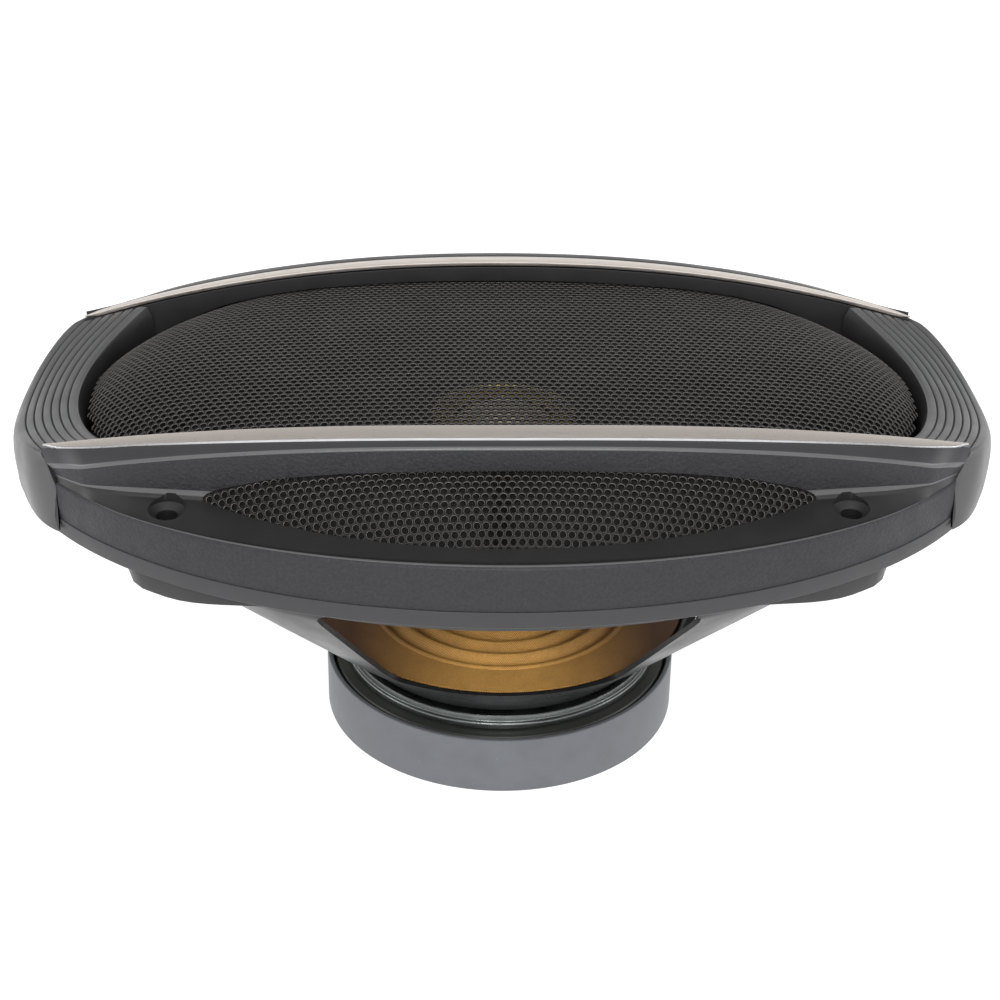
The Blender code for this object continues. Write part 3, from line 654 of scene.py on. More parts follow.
def panel_points(x):
    """Corners of a side panel's section at station x, as (y, z, radius, finish, corner finish)."""
    lip_z = LIP_Z - 1.8 * (x / 90.0) ** 2
    lip_y = oval_y(x * part_reach(lip_z) / X_PART, *LIP_AXES)
    band_y = oval_y(leaned(x, Z_BAND), *BAND_AXES)
    inner = ridge_y(x)
    room = lip_y - inner
    width = trim_width(x)
    drop = TRIM_TILT * width
    seat_y = inner + width + 0.15
    edge_y, edge_z = shoulder(x)
    edge_y = max(min(edge_y, lip_y - 0.25 * room), seat_y + 0.2)
    splay = 1.2 * max(0.0, 1.0 - (x / 75.0) ** 2) + 0.12
    foot_y = max(min(edge_y + splay, lip_y - 0.12 * room), edge_y + 0.1)
    foot_z = min(FOOT_Z - 1.6 * (abs(x) / 100.0) ** 6, edge_z - 1.0)
    wall_in = min(2.2, 0.5 * room)
    span = max(0.0, lip_y - 0.9 - foot_y)
    sink = min(0.9, 0.12 * span)
    # the rounded shoulder, ridge-foot and lip corners get the lighter grey as a painted highlight
    return [
        (inner, lip_z - 3.0, 0.3, S_INNER, S_INNER),
        (inner, ridge_z(x) - 1.5, 0.15, S_SMOOTH, S_SMOOTH),
        (seat_y - 0.15, ridge_z(x) - 1.5 - drop, 0.05, S_SMOOTH, S_SMOOTH),
        (seat_y, ridge_z(x) - drop - 0.1, 0.25, S_SMOOTH, S_SMOOTH),
        (edge_y, edge_z, 0.6, S_GRAIN, S_PAINTED_HIGHLIGHT),
        (foot_y, foot_z + 0.25, 0.8, S_RECESS, S_PAINTED_HIGHLIGHT),
        (foot_y + 0.07 * span, foot_z - sink, 0.5, S_RECESS, S_RECESS),
        (lip_y - 0.9 - 0.1 * span, lip_z - 0.1 - sink, 0.6, S_RECESS, S_RECESS),
        (lip_y - 0.9, lip_z, 0.7, S_GRAIN, S_PAINTED_HIGHLIGHT),
        (lip_y, lip_z - 0.5, 0.8, S_GRAIN, S_GRAIN),
        (band_y, Z_BAND + 0.02, 0.02, S_INNER, S_INNER),
        (band_y - wall_in, Z_BAND + 0.02, 0.1, S_INNER, S_INNER),
        (lip_y - wall_in - 0.4, lip_z - 3.0, 0.2, S_INNER, S_INNER),
    ]


def panel_section(x, side):
    """Rounded section of a side panel at station x."""
    corners = panel_points(x)
    outline = rounded([(c[0], c[1]) for c in corners], [c[2] for c in corners])
    return [(leaned(x, z), side * y, z) for y, z in outline]


def window_outline(side):
    """Plan of the eye-shaped side window, with its tips rounded."""
    tip_x = 69.3
    lower_axes = (98.8, 73.4)
    upper_y, upper_fall = 56.17, 3.86
    low = []
    high = []
    for x in stations(tip_x, 80):
        low_y = oval_y(x, *lower_axes)
        high_y = upper_y - upper_fall * (x / tip_x) ** 2
        blunt = 1.1 * max(0.0, 1.0 - (tip_x - abs(x)) / 1.6)
        low.append((x, side * max(low_y - 0.6 * blunt, high_y + 0.05)))
        high.append((x, side * high_y))
    return low + list(reversed(high[1:-1]))


def prism(name, outline, low, high):
    """An upright solid over a plan outline, for cutting."""
    return skin(name, [[(x, y, z) for x, y in outline] for z in (low, high)], [INNER])


def dome_cutter():
    """The space under and just above the mesh, kept clear of the grille mouldings."""
    steps = 96
    shares = [0.0001, 0.3, 0.5, 0.65, 0.75, 0.82, 0.88, 0.93, 0.965, 0.99]
    floor = 70.0
    verts = []
    for share in shares + shares[-1:]:
        for t in around(steps):
            x, y = share * MESH_A * cos(t), share * MESH_B * sin(t)
            verts.append((x, y, mesh_z(x, y) + 0.5))
    verts[-steps:] = [(x, y, floor) for x, y, _ in verts[-steps:]]
    faces = [tuple(range(steps))]
    for ring in range(len(shares)):
        for i in range(steps):
            nxt = (i + 1) % steps
            row = ring * steps
            faces.append((row + i, row + nxt, row + steps + nxt, row + steps + i))
    faces.append(tuple(len(shares) * steps + i for i in range(steps)))
    return add_mesh("mesh_space", verts, faces, [INNER])


def screw_cutter(x, y):
    """Clearance hole with a countersink."""
    top = SCREW_FLOOR + 0.9
    bottom = 60.0
    profile = [(SCREW_HEAD_R, top), (SCREW_HEAD_R, SCREW_FLOOR - 1.4), (SCREW_R, SCREW_FLOOR - 2.6),
               (SCREW_R, bottom), (0.001, bottom), (0.001, top)]
    hole = turned("screw_hole", profile, INNER, 40)
    hole.location = (x * MM, y * MM, 0.0)
    return hole


def screw_cutters(*sides):
    """Cutters of the screw holes on the front side (-1), the rear side (1) or both."""
    return [screw_cutter(end * SCREW_X, side * SCREW_Y) for end in (1, -1) for side in sides]


def side_panel(word, side):
    """Side panel: ridge wall, dark recess with its window and screw holes, grained outer wall."""
    sections = [panel_section(x, side) for x in stations(X_PART, 120)]
    slots = per_corner(panel_points(0.0))
    panel = skin(f"side_panel_{word}_moulding", sections, PANEL_SLOTS, slots=slots)
    window = prism("window", window_outline(side), 84, 104)
    cut(panel, [window, dome_cutter()] + screw_cutters(side))
    finish_piece(panel, FRAME_BODY, f"side_panel_{word}")


def trim_strip(word, side):
    """Champagne strip with a bright chamfer on its outer edge and tapered tips."""
    sections = []
    for x in stations(X_TRIM, 96):
        inner, top, width = ridge_y(x), ridge_z(x), trim_width(x)
        tip = smooth_share((X_TRIM - abs(x)) / 4.0)
        width *= 0.35 + 0.65 * tip
        drop = TRIM_TILT * width
        thick = 0.35 + 0.75 * tip
        chamfer = 0.1 * width
        corners = [(inner, top - 0.1), (inner + width - chamfer, top - drop - 0.02),
                   (inner + width, top - drop - 0.42 * thick), (inner + width, top - drop - thick),
                   (inner, top - thick)]
        outline = rounded(corners, [0.3, 0.12, 0.1, 0.1, 0.1])
        sections.append([(x, side * y, z) for y, z in outline])
    slots = [0] * 4 + [1] * 8 + [0] * 8
    strip = skin(f"trim_strip_{word}_metal", sections, [TRIM, BRIGHT], slots=slots)
    finish_piece(strip, FRAME_BODY, f"trim_strip_{word}")


RIBS = 7
RIB_PITCH = 2.05
RIB_START = 1.4                  # inset of the first rib from the cap's outer outline
RIB_POINTS = 10                  # lines across one rib
RIB_DEPTH = 0.75
FACE_END = RIB_START + RIBS * RIB_PITCH
CAP_HALF_WIDTH = 96.5
CAP_MIDDLE_Z = 89.6              # height of the ribbed face on the long axis
CAP_SINK = 1.6                   # and how far it lies below the strips
SEAM_Z = (74.0, 76.4, 84.8, 88.8, 93.0)      # where the caps' ends meet the side panels: heights
SEAM_Y = (43.2, 40.7, 38.6, 38.0, 37.4)      # and distances from the long axis


def cap_axes(inset):
    """Half axes of the end caps' plan curve at an inset from their outer outline."""
    return HALF_LENGTH - inset, CAP_HALF_WIDTH - 0.95 * inset


def cap_height(x, y):
    """Height of the end caps' ribbed face: low on the long axis, rising to the trims."""
    reach = min(abs(x), RIDGE_REACH)
    middle = CAP_MIDDLE_Z - 0.014 * max(0.0, abs(x) - 100.0) ** 2
    side = ridge_z(reach) - CAP_SINK
    share = min(1.0, abs(y) / ridge_y(reach)) ** 2
    return middle + (side - middle) * share


def cap_limit(inset, z):
    """Ellipse angle where a line of the end cap meets a strip or the parting line."""
    a, b = cap_axes(inset)
    seam_x = part_reach(z) + flare(z) + GAP
    t = 0.0
    while t < 1.2:
        x, y = a * cos(t), b * sin(t)
        if x <= seam_x and y >= ridge_y(min(x, X_TRIM)) - GAP:
            break
        t += 0.002
    return t


def seam_pull(inset, z, limit):
    """How far a line's end is drawn in to meet the side panel."""
    end_y = cap_axes(inset)[1] * sin(limit)
    return max(0.0, end_y - float(np.interp(z, SEAM_Z, SEAM_Y)))


def rib_lift(inset):
    """Flat-crowned ribs with narrow grooves between them."""
    if inset <= RIB_START or inset >= FACE_END:
        return 0.0
    share = ((inset - RIB_START) / RIB_PITCH) % 1.0
    return RIB_DEPTH * (0.85 - abs(2.0 * share - 1.0) ** 6) - 0.4


def cap_lines():
    """Lines of the end cap's section, as (inset, base height, share of the way up to the face,
    lift, finish)."""
    wall_foot, inner_foot = 76.5, 82.5
    wall = ((0.35, 0.0), (0.08, 0.28), (0.0, 0.5), (0.13, 0.7), (0.4, 0.85), (0.8, 0.94), (1.15, 0.975))
    edge = ((0.35, -0.1), (0.6, -0.6), (0.8, -1.4), (1.3, -2.6))
    lines = [(0.9, CAP_FOOT, 0.0, 0.0, 1)]
    lines += [(inset, wall_foot, share, 0.0, 1) for inset, share in wall]
    for i in range(RIBS * RIB_POINTS + 1):
        inset = RIB_START + i * RIB_PITCH / RIB_POINTS
        lines.append((inset, 0.0, 1.0, rib_lift(inset), 1))
    lines += [(FACE_END + past, 0.0, 1.0, lift, 0) for past, lift in edge]
    lines += [(inset, inner_foot, 0.0, 0.0, 0) for inset in (17.6, 16.0, 3.0)]
    return lines + [(2.8, CAP_FOOT, 0.0, 0.0, 0)]


def end_cap(word, side):
    """Ribbed end cap between the two strips, its ends curving in to the side panels."""
    steps = 96
    face_z = 91.0
    lines = cap_lines()
    levels = [base + share * (face_z - base) for _, base, share, _, _ in lines]
    limits = [cap_limit(line[0], level) for line, level in zip(lines, levels)]
    pulls = [seam_pull(line[0], level, limit) for line, level, limit in zip(lines, levels, limits)]
    sections = []
    for i in range(steps + 1):
        along = 2 * i / steps - 1
        bend = max(0.0, (abs(along) - 0.7) / 0.3) ** 2
        section = []
        for (inset, base, share, lift, _), limit, pull in zip(lines, limits, pulls):
            a, b = cap_axes(inset)
            x, y = a * cos(along * limit), b * sin(along * limit)
            height = base + share * (cap_height(x, y) - base) + lift
            y -= pull * bend * (1 if y > 0 else -1)
            section.append((side * x, side * y, height))
        sections.append(section)
    finishes = [line[4] for line in lines]
    cap = skin(f"end_cap_{word}_moulding", sections, [INNER, CAP], slots=finishes, sharp=50)
    finish_piece(cap, FRAME_BODY, f"end_cap_{word}")


def base_ring():
    """Smooth oval band and the flange under the end caps."""
    part_x = part_reach(Z_BAND)
    part_t = acos(part_x / HALF_LENGTH)
    steps = sorted(around(200) + [s + d for s in (part_t, pi - part_t, pi + part_t, 2 * pi - part_t)
                                  for d in (-0.001, 0.001)])
    sections = []
    for t in steps:
        top = LIP_TOP if abs(HALF_LENGTH * cos(t)) > part_x else Z_BAND
        corners = [(0.0, top), (0.0, Z_MOUNT), (13.0, Z_MOUNT), (13.0, top)]
        outline = rounded(corners, [0.3, 0.5, 0.2, 0.2])
        sections.append([((HALF_LENGTH - d) * cos(t), (HALF_WIDTH - d * 0.96) * sin(t), z)
                         for d, z in outline])
    ring = skin("base_ring_moulding", sections, [SMOOTH], ring=True)
    cut(ring, screw_cutters(1, -1))
    finish_piece(ring, FRAME_BODY, "base_ring")


# Perforated mesh

HOLE_PITCH = 2.03
ROW_PITCH = HOLE_PITCH * sqrt(3) / 2
HOLE_R = 0.79
BURR = 0.1                       # rounding of the punched edge
HOLE_SIDES = 12
SHEET = 0.6
RIM_EXTRA = 0.022                # the sheet reaches further under the side windows
ROLL_RHO = np.linspace(0.0, 0.995, 400)
ROLL_SLOPE = (2 * MESH_SAG * ROLL_RHO + 10 * MESH_ROLL * ROLL_RHO ** 9) / MESH_MEAN
ROLL_ARC = np.concatenate([[0.0], np.cumsum(np.sqrt(1 + ROLL_SLOPE[1:] ** 2) * np.diff(ROLL_RHO))])


def rim_share(points):
    """Share of the flat blank where the sheet ends, in a point's direction."""
    u, v = points[..., 0] / MESH_A, points[..., 1] / MESH_B
    across = v ** 2 / np.maximum(u ** 2 + v ** 2, 1e-9)
    return np.interp(MESH_EDGE + RIM_EXTRA * across, ROLL_RHO, ROLL_ARC)


def blank_share(points):
    """Share of the flat blank's ellipse at each point."""
    return np.hypot(points[..., 0] / MESH_A, points[..., 1] / MESH_B)


def formed(points, depth):
    """Flat blank points to the rolled dome, lowered by a depth through the sheet."""
    flat = blank_share(points)
    share = np.interp(flat, ROLL_ARC, ROLL_RHO)
    scale = np.where(flat > 1e-9, share / np.maximum(flat, 1e-9), 1.0)
    x, y = points[:, 0] * scale, points[:, 1] * scale
    rho2 = share ** 2
    z = MESH_TOP - MESH_SAG * rho2 - MESH_ROLL * rho2 ** 5
    lean = 2 * MESH_SAG + 10 * MESH_ROLL * rho2 ** 4
    steep = np.sqrt(1 + (lean * share / MESH_MEAN) ** 2)
    push = depth * lean / steep
    return np.stack([x - push * x / MESH_A ** 2, y - push * y / MESH_B ** 2, z - depth / steep], 1)


def hole_centres():
    """Centres of the punched holes on the flat blank: staggered rows along X."""
    spots = []
    rows = int(MESH_B * 1.1 / ROW_PITCH)
    columns = int(MESH_A * 1.1 / HOLE_PITCH)
    for j in range(-rows, rows + 1):
        shift = 0.5 * HOLE_PITCH if j % 2 else 0.0
        for i in range(-columns, columns + 1):
            spots.append((i * HOLE_PITCH + shift, j * ROW_PITCH))
    spots = np.array(spots)
    margin = 0.9
    return spots[blank_share(spots) < rim_share(spots) - margin / MESH_B]


def cell_ring():
    """Points round one hole: hexagon of steel, start of the rounding, and the hole itself."""
    ring = []
    for k in range(HOLE_SIDES):
        turn = pi / 6 + 2 * pi * k / HOLE_SIDES
        reach = HOLE_PITCH / sqrt(3) if k % 2 == 0 else HOLE_PITCH / 2
        ring.append([(r * cos(turn), r * sin(turn)) for r in (reach, HOLE_R + BURR, HOLE_R)])
    return np.array(ring).transpose(1, 0, 2)


def lone_edges(outer):
    """Which hexagon edges have no neighbour, on the sheet's rim or between its parts."""
    middle = 0.5 * (outer + np.roll(outer, -1, axis=1))
    # two neighbours' shared edges have the same middle, so they round to the same grid point
    grid = np.round(middle / (HOLE_PITCH / 8, ROW_PITCH / 12)).astype(int).reshape(-1, 2)
    _, index, counts = np.unique(grid, axis=0, return_inverse=True, return_counts=True)
    return counts[index.ravel()] == 1


def mesh_part(name, centres):
    """One part of the perforated sheet: a hexagon of steel round each hole, top to bottom."""
    outer, burr, hole = [centres[:, None, :] + ring[None] for ring in cell_ring()]
    alone = lone_edges(outer)
    over = blank_share(outer) / rim_share(outer)
    outer = outer / np.maximum(over, 1.0)[..., None]
    layers = [(outer, 0.0), (burr, 0.0), (hole, BURR), (hole, SHEET), (outer, SHEET)]
    verts = np.concatenate([formed(points.reshape(-1, 2), depth) for points, depth in layers])
    size = len(centres) * HOLE_SIDES
    cell = np.arange(len(centres))[:, None] * HOLE_SIDES
    k = np.arange(HOLE_SIDES)[None, :]
    here, nxt = (cell + k).ravel(), (cell + (k + 1) % HOLE_SIDES).ravel()
    faces = []
    for low in range(4):
        high = low + 1
        faces.append(np.stack([here + low * size, nxt + low * size, nxt + high * size,
                               here + high * size], 1))
    faces.append(np.stack([nxt, here, here + 4 * size, nxt + 4 * size], 1)[alone])
    mesh = bpy.data.meshes.new(name)
    mesh.from_pydata((verts * MM).tolist(), [], np.concatenate(faces).tolist())
    mesh.materials.append(MESH)
    mesh.materials.append(HOLE_RIM_PAINTED_HIGHLIGHT)
    # the holes' rounded edges take the lighter colour, a painted highlight
    painted_rim_slots = np.zeros(len(mesh.polygons), np.int32)
    painted_rim_slots[size:2 * size] = 1
    mesh.polygons.foreach_set("material_index", painted_rim_slots)
    edit_mesh(mesh, lambda form: bmesh.ops.remove_doubles(form, verts=form.verts, dist=0.015 * MM))
    shade(mesh, 60)
    return add_object(name, mesh)


def grille_mesh():
    """The whole perforated dome, in four parts."""
    centres = hole_centres()
    edges = (-1000.0, -38.0, 0.0, 38.0, 1000.0)
    for index in range(4):
        part = centres[(centres[:, 0] >= edges[index]) & (centres[:, 0] < edges[index + 1])]
        obj = mesh_part(f"perforated_mesh_{index + 1}", part)
        finish_piece(obj, FRAME_BODY, "grille_mesh")


# Frame

def ear_share(t):
    """How much of a screw ear the flange has at ellipse angle t, from 0 to 1."""
    ear = acos(SCREW_X / FLANGE_A)
    folded = abs(((t + pi / 2) % pi) - pi / 2)
    past = folded - ear
    if past < 0.0:
        return smooth_share((past + 0.15) / 0.1)
    return smooth_share((0.3 - past) / 0.28)


def offset_line(line, distance):
    """A section line of (a, b, z) moved sideways by a distance; it starts level."""
    moved = []
    for k, (a, b, z) in enumerate(line):
        before = line[max(0, k - 1)]
        after = line[k] if k == 1 else line[min(len(line) - 1, k + 1)]
        along = Vector((after[0] - before[0], after[2] - before[2])).normalized()
        out = Vector((along.y, -along.x)) * distance
        moved.append((a + out.x, b + out.x, z + out.y))
    return moved


def basket_section(t):
    """Section of the pressed frame at ellipse angle t: flange and ear pad, ledge, wall, foot."""
    share = ear_share(t)
    reach = EAR_BULGE * share
    line = [(FLANGE_A + reach, FLANGE_B + reach * 0.6, FLANGE_Z), (107.0, 77.2, FLANGE_Z),
            (105.6, 75.8, LEDGE_Z), (99.5, 70.8, LEDGE_Z), WALL_HIGH, WALL_LOW,
            (43.0, 42.0, 25.6), (38.0, 38.0, 20.2), (27.0, 27.0, 20.0)]
    top = offset_line(line, -STEEL / 2)
    under = offset_line(line, STEEL / 2)
    if top[0][2] < under[0][2]:
        top, under = under, top
    rim_a, rim_b, rim_z = under[0]
    drop = EAR_DEPTH * share
    pad = [(rim_a, rim_b, rim_z - drop), (108.6, 78.6, rim_z - drop), (107.9, 77.9, rim_z)]
    outline = top + list(reversed(pad + under[1:]))
    radii = [0.4, 1.0, 0.8, 1.5, 2.0, 2.0, 1.5, 1.2, 0.2]
    radii += [0.2, 1.2, 1.5, 2.0, 2.0, 1.5, 0.8, 0.5, 0.4, 0.5, 0.4]
    return [(a * cos(t), b * sin(t), z) for a, b, z in rounded(outline, radii, 2)]


def frame_window(index):
    """Sector-shaped cutter of a basket window with rounded corners."""
    facing = index * pi / 2
    half = radians(36.0)
    middle_r = 70.0
    wide = half * middle_r
    corners = [(-wide, WINDOW_LOW), (wide, WINDOW_LOW), (wide, WINDOW_HIGH), (-wide, WINDOW_HIGH)]
    outline = rounded(corners, [5.0, 5.0, 6.0, 6.0], 5)
    sections = []
    for r in (24.0, 150.0):
        sections.append([(r * cos(facing + s / middle_r), r * sin(facing + s / middle_r), z)
                         for s, z in outline])
    return skin("frame_window", sections, [BASKET])


def basket():
    """Pressed steel frame with four windows and four screw holes."""
    frame_body = skin("basket_pressing", [basket_section(t) for t in around(192)], [BASKET], ring=True)
    edit_mesh(frame_body.data, lambda form: bmesh.ops.triangulate(form, faces=form.faces))
    cut(frame_body, [frame_window(i) for i in range(4)] + screw_cutters(1, -1))
    finish_piece(frame_body, FRAME_BODY, "basket")


def clamp_ring():
    """Card ring that presses the surround's outer lip into the frame."""
    low = LEDGE_Z + STEEL / 2 + EDGE_THICK + 2 * GAP
    top = Z_MOUNT - GAP
    corners = [(CONE_A + 18.0, CONE_B + 18.0, top), (CONE_A + 18.0, CONE_B + 18.0, low),
               (CONE_A + 13.8, CONE_B + 13.8, low), (CONE_A + 13.8, CONE_B + 13.8, top)]
    ring = oval_ring("clamp_ring_card", rounded(corners, [0.3] * 4), CARD, 160)
    finish_piece(ring, FRAME_BODY, "clamp_ring")


# Motor

def tube(inner, outer, low, high):
    """Section of a plain tube."""
    return [(inner, high), (outer, high), (outer, low), (inner, low)]


def turned_piece(name, corners, radii, mat, node, steps=128, body=FRAME_BODY):
    """A turned piece from a closed profile with rounded corners."""
    finish_piece(turned(name, rounded(corners, radii), mat, steps), body, node)


def motor():
    """Boot, back plate with its vented pole, magnet and top plate."""
    boot_wall = 1.3
    turned_piece("magnet_boot_moulding",
                 [(0.001, boot_wall), (BOOT_R - boot_wall, boot_wall),
                  (BOOT_R - boot_wall, BOOT_H), (BOOT_R, BOOT_H), (BOOT_R, 0.0), (0.001, 0.0)],
                 [0.0, 0.3, 0.4, 0.5, 0.7, 0.0], BOOT, "magnet_boot", 192)
    turned_piece("back_plate_and_pole",
                 [(VENT_R, POLE_TOP), (POLE_R, POLE_TOP), (POLE_R, YOKE_TOP), (YOKE_R, YOKE_TOP),
                  (YOKE_R, YOKE_LOW), (VENT_R, YOKE_LOW)],
                 [0.6, 0.8, 0.3, 0.6, 0.6, 0.5], ZINC, "t_yoke")
    turned_piece("ring_magnet", tube(MAGNET_HOLE_R, MAGNET_R, MAGNET_LOW, MAGNET_TOP),
                 [0.6, 0.9, 0.9, 0.6], FERRITE, "magnet", 192)
    groove = PLATE_TOP - 1.9
    turned_piece("top_plate_turned",
                 [(PLATE_HOLE_R, PLATE_TOP), (PLATE_R - 0.7, PLATE_TOP), (PLATE_R - 0.7, groove + 0.35),
                  (PLATE_R, groove), (PLATE_R, PLATE_LOW), (PLATE_HOLE_R, PLATE_LOW)],
                 [0.2, 0.5, 0.2, 0.35, 0.5, 0.2], ZINC, "top_plate", 192)


# Moving parts

def cone():
    """Paper cone from a round neck to an oval rim, with two pressed rings."""
    top = []
    levels = 28
    for i in range(levels + 1):
        s = i / levels
        z = CONE_NECK_Z + (CONE_TOP - CONE_NECK_Z) * s ** 1.15
        bead = 0.35 * sum(max(0.0, 1.0 - ((s - at) / 0.03) ** 2) for at in (0.48, 0.72))
        top.append((CONE_NECK_R + (CONE_A - CONE_NECK_R) * s, CONE_NECK_R + (CONE_B - CONE_NECK_R) * s,
                    z - bead))
    under = [(a, b, z - CONE_THICK) for a, b, z in reversed(top)]
    shell = oval_ring("cone_paper", top + under, CONE, 160)
    finish_piece(shell, CONE_BODY, "cone")


def bend_with_cone(obj, node):
    """Bake a ring's placement into its mesh and hide the CAD node it stands for."""
    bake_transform(obj)
    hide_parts(node)


def surround():
    """Half-roll rubber edge between the cone's rim and the frame's ledge."""
    steps = 160
    low = CONE_TOP + 1.2
    high = LEDGE_Z + STEEL / 2 + GAP + EDGE_THICK
    top = [(-3.0, low - 1.75), (0.0, low - 0.3)]
    arc = 18
    for i in range(arc + 1):
        turn = pi * i / arc
        top.append((ROLL_MIDDLE - ROLL_R * cos(turn), low + (high - low) * i / arc + ROLL_R * sin(turn)))
    top.append((17.6, high))
    line = top + [(out, z - EDGE_THICK * 0.98) for out, z in reversed(top)]
    roll = oval_ring("surround_roll", [(CONE_A + d, CONE_B + d, z) for d, z in line], EDGE, steps)
    bend_with_cone(roll, "surround")


def spider():
    """Corrugated resin-stiffened cloth disc; its flat glued rim fills the frame's foot."""
    steps = 144
    middle = SPIDER_TOP - 0.9
    top = []
    points = 60
    for i in range(points + 1):
        r = SPIDER_IN + (SPIDER_WAVES_R - SPIDER_IN) * i / points
        ease = min(1.0, (SPIDER_WAVES_R - r) / 1.5)
        wave = 0.85 * cos(2 * pi * (SPIDER_WAVES_R - r) / SPIDER_PITCH)
        top.append((r, r, middle - 0.3 + (wave + 0.3) * ease))
    top.append((SPIDER_A, SPIDER_B, middle - 0.3))
    line = top + [(a, b, z - 0.45) for a, b, z in reversed(top)]
    disc = oval_ring("spider_disc", line, CLOTH, steps)
    bend_with_cone(disc, "spider")


def coil():
    """Former with its winding."""
    turned_piece("former_tube", tube(14.45, 14.9, 11.6, 34.0), [0.05] * 4, KAPTON,
                 "coil_former", body=CONE_BODY)
    turned_piece("coil_winding", tube(15.1, 16.0, 12.2, 22.2), [0.2] * 4, COPPER,
                 "voice_coil", body=CONE_BODY)


def tweeter():
    """Tweeter on its post: cup, dome and the ring that holds the dome."""
    low, top = TWEETER_LOW, TWEETER_TOP
    r = TWEETER_R
    turned_piece("tweeter_post_turned",
                 [(0.001, low - GAP), (6.5, low - GAP), (6.5, low - 3), (3.6, low - 5), (3.6, 6.0),
                  (0.001, 6.0)], [0, 0.4, 0.6, 1.0, 0.3, 0], NICKEL, "tweeter_post", 64)
    turned_piece("tweeter_cup_moulding",
                 [(0.001, low + 1.5), (10.0, low + 1.5), (r - 2, low + 5.4), (r - 2, top - 4), (r, top - 4),
                  (r, low + 5.2), (9.4, low), (0.001, low)], [0, 0.5, 0.5, 0.2, 0.3, 1.5, 1.0, 0],
                 TWEETER, "tweeter_cup")
    turned_piece("tweeter_ring_gilt",
                 [(12.4, top + 0.4), (r, top - 1.2), (r, top - 3.7), (12.4, top - 3.7)],
                 [0.5, 0.8, 0.2, 0.2], GOLD, "tweeter_ring")
    turns = [radians(12 + 78 * i / 16) for i in range(17)]
    dome = [(9.0 * cos(turn), top - 3.6 + 4.6 * sin(turn)) for turn in turns]
    dome[-1] = (0.001, dome[-1][1])
    rim = [(9.3, top - 3.5), (12.0, top - 3.6), (12.0, top - 4.1), (8.7, top - 4.1)]
    inside = [(max(0.001, out - 0.4), z - 0.4) for out, z in dome]
    film_dome = turned("tweeter_dome_film", list(reversed(dome)) + rim + inside, DOME, 96)
    finish_piece(film_dome, DOME_BODY, "tweeter_dome")


def lead(word):
    """Braided lead from the terminal board to the cone, copied from its CAD solid."""
    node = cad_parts[f"tinsel_lead_{word}"]
    mesh = node.data.copy()
    mesh.transform(node.matrix_world)
    mesh.materials.clear()
    mesh.materials.append(BRAID)
    obj = add_object(f"tinsel_braid_{word}", mesh)
    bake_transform(obj)
    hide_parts(f"tinsel_lead_{word}")


# Camera, light and floor

def camera():
    """Camera at the height and angle that the speaker is seen from."""
    place = Vector((-17.9, -487.0, 329.9)) * MM
    yaw, pitch, roll = radians(2.04), radians(29.17), radians(0.9)
    ahead = Vector((sin(yaw) * cos(pitch), cos(yaw) * cos(pitch), -sin(pitch)))
    right = Vector((cos(yaw), -sin(yaw), 0.0))
    up = right.cross(ahead)
    right_rolled = right * cos(roll) + up * sin(roll)
    up_rolled = up * cos(roll) - right * sin(roll)
    turn = Matrix((right_rolled, up_rolled, -ahead)).transposed()
    data = bpy.data.cameras.new("camera")
    data.lens = 79.2
    data.sensor_width = 36.0
    data.clip_start = 0.01
    data.clip_end = 20.0
    obj = add_object("camera", data)
    obj.matrix_world = Matrix.Translation(place) @ turn.to_4x4()
    bpy.context.scene.camera = obj


def softbox(name, place, target, size, power):
    """A soft rectangular studio light, in metres and watts."""
    data = bpy.data.lights.new(name, "AREA")
    data.shape = "RECTANGLE"
    data.size, data.size_y = size
    data.energy = power
    obj = add_object(name, data)
    obj.location = place
    aim = Vector(target) - Vector(place)
    obj.rotation_euler = aim.to_track_quat("-Z", "Y").to_euler()


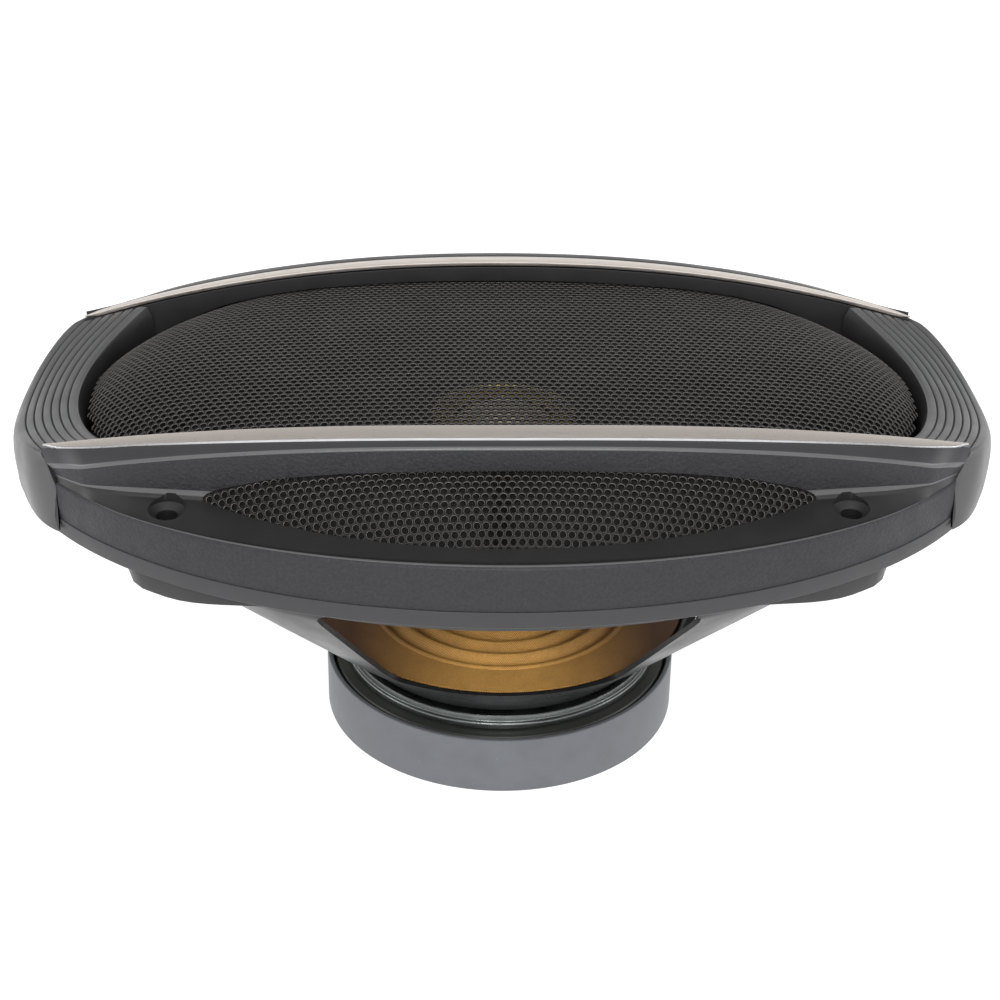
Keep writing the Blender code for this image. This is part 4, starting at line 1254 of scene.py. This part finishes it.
def sky(world):
    """Surroundings: white near the horizon, dimmer overhead."""
    tree = world.node_tree
    coords = tree.nodes.new("ShaderNodeTexCoord").outputs["Generated"]
    parts = tree.nodes.new("ShaderNodeSeparateXYZ")
    tree.links.new(coords, parts.inputs["Vector"])
    fall = tree.nodes.new("ShaderNodeMapRange")
    for socket, value in (("From Min", 0.2), ("From Max", 0.6), ("To Min", 1.15), ("To Max", 0.36)):
        fall.inputs[socket].default_value = value
    tree.links.new(parts.outputs["Z"], fall.inputs["Value"])
    back = tree.nodes["Background"]
    back.inputs["Color"].default_value = (1.0, 1.0, 1.0, 1.0)
    tree.links.new(fall.outputs["Result"], back.inputs["Strength"])


def overhead(power, spread):
    """Very soft light from straight above, even over the whole floor."""
    data = bpy.data.lights.new("overhead_light", "SUN")
    data.energy = power
    data.angle = radians(spread)
    add_object("overhead_light", data).rotation_euler = (radians(8), 0, 0)


def studio():
    """White surroundings and floor, an even overhead light, and softboxes in front and at the sides."""
    world = bpy.data.worlds.new("studio")
    bpy.context.scene.world = world
    world.use_nodes = True
    sky(world)
    bpy.context.scene.view_settings.view_transform = "Standard"
    overhead(1.3, 70)
    softbox("front_light", (0.0, -1.05, 0.72), (0, 0, 0.05), (0.5, 0.35), 7.5)
    for side, word in ((-1.0, "left"), (1.0, "right")):
        softbox(f"{word}_light", (side, -0.1, 0.55), (0, 0, 0.06), (0.5, 0.5), 2.3)
    far = 4000
    corners = [(-far, -far, 0), (far, -far, 0), (far, far, 0), (-far, far, 0)]
    floor = add_mesh("studio_floor", corners, [(0, 1, 2, 3)], [floor_material()])
    floor.location.z = -0.00005


def assign(node, mat):
    """Give a carried-over CAD node its finish."""
    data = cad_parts[node].data
    data.materials.clear()
    data.materials.append(mat)


CARRIED = {
    "tweeter_magnet": NICKEL, "tweeter_coil": COPPER, "terminal_board": PHENOL, "terminal_plus": TIN,
    "terminal_minus": TIN, "board_rivet_1": TIN, "board_rivet_2": TIN, "crossover_capacitor": SLEEVE,
}


def build():
    """The studio, then every piece of the speaker."""
    camera()
    studio()
    for node, mat in CARRIED.items():
        assign(node, mat)
    base_ring()
    for side, word in ((-1, "front"), (1, "rear")):
        side_panel(word, side)
        trim_strip(word, side)
    for side, word in ((-1, "left"), (1, "right")):
        end_cap(word, side)
    grille_mesh()
    basket()
    clamp_ring()
    motor()
    cone()
    surround()
    spider()
    coil()
    tweeter()
    for word in ("plus", "minus"):
        lead(word)


build()
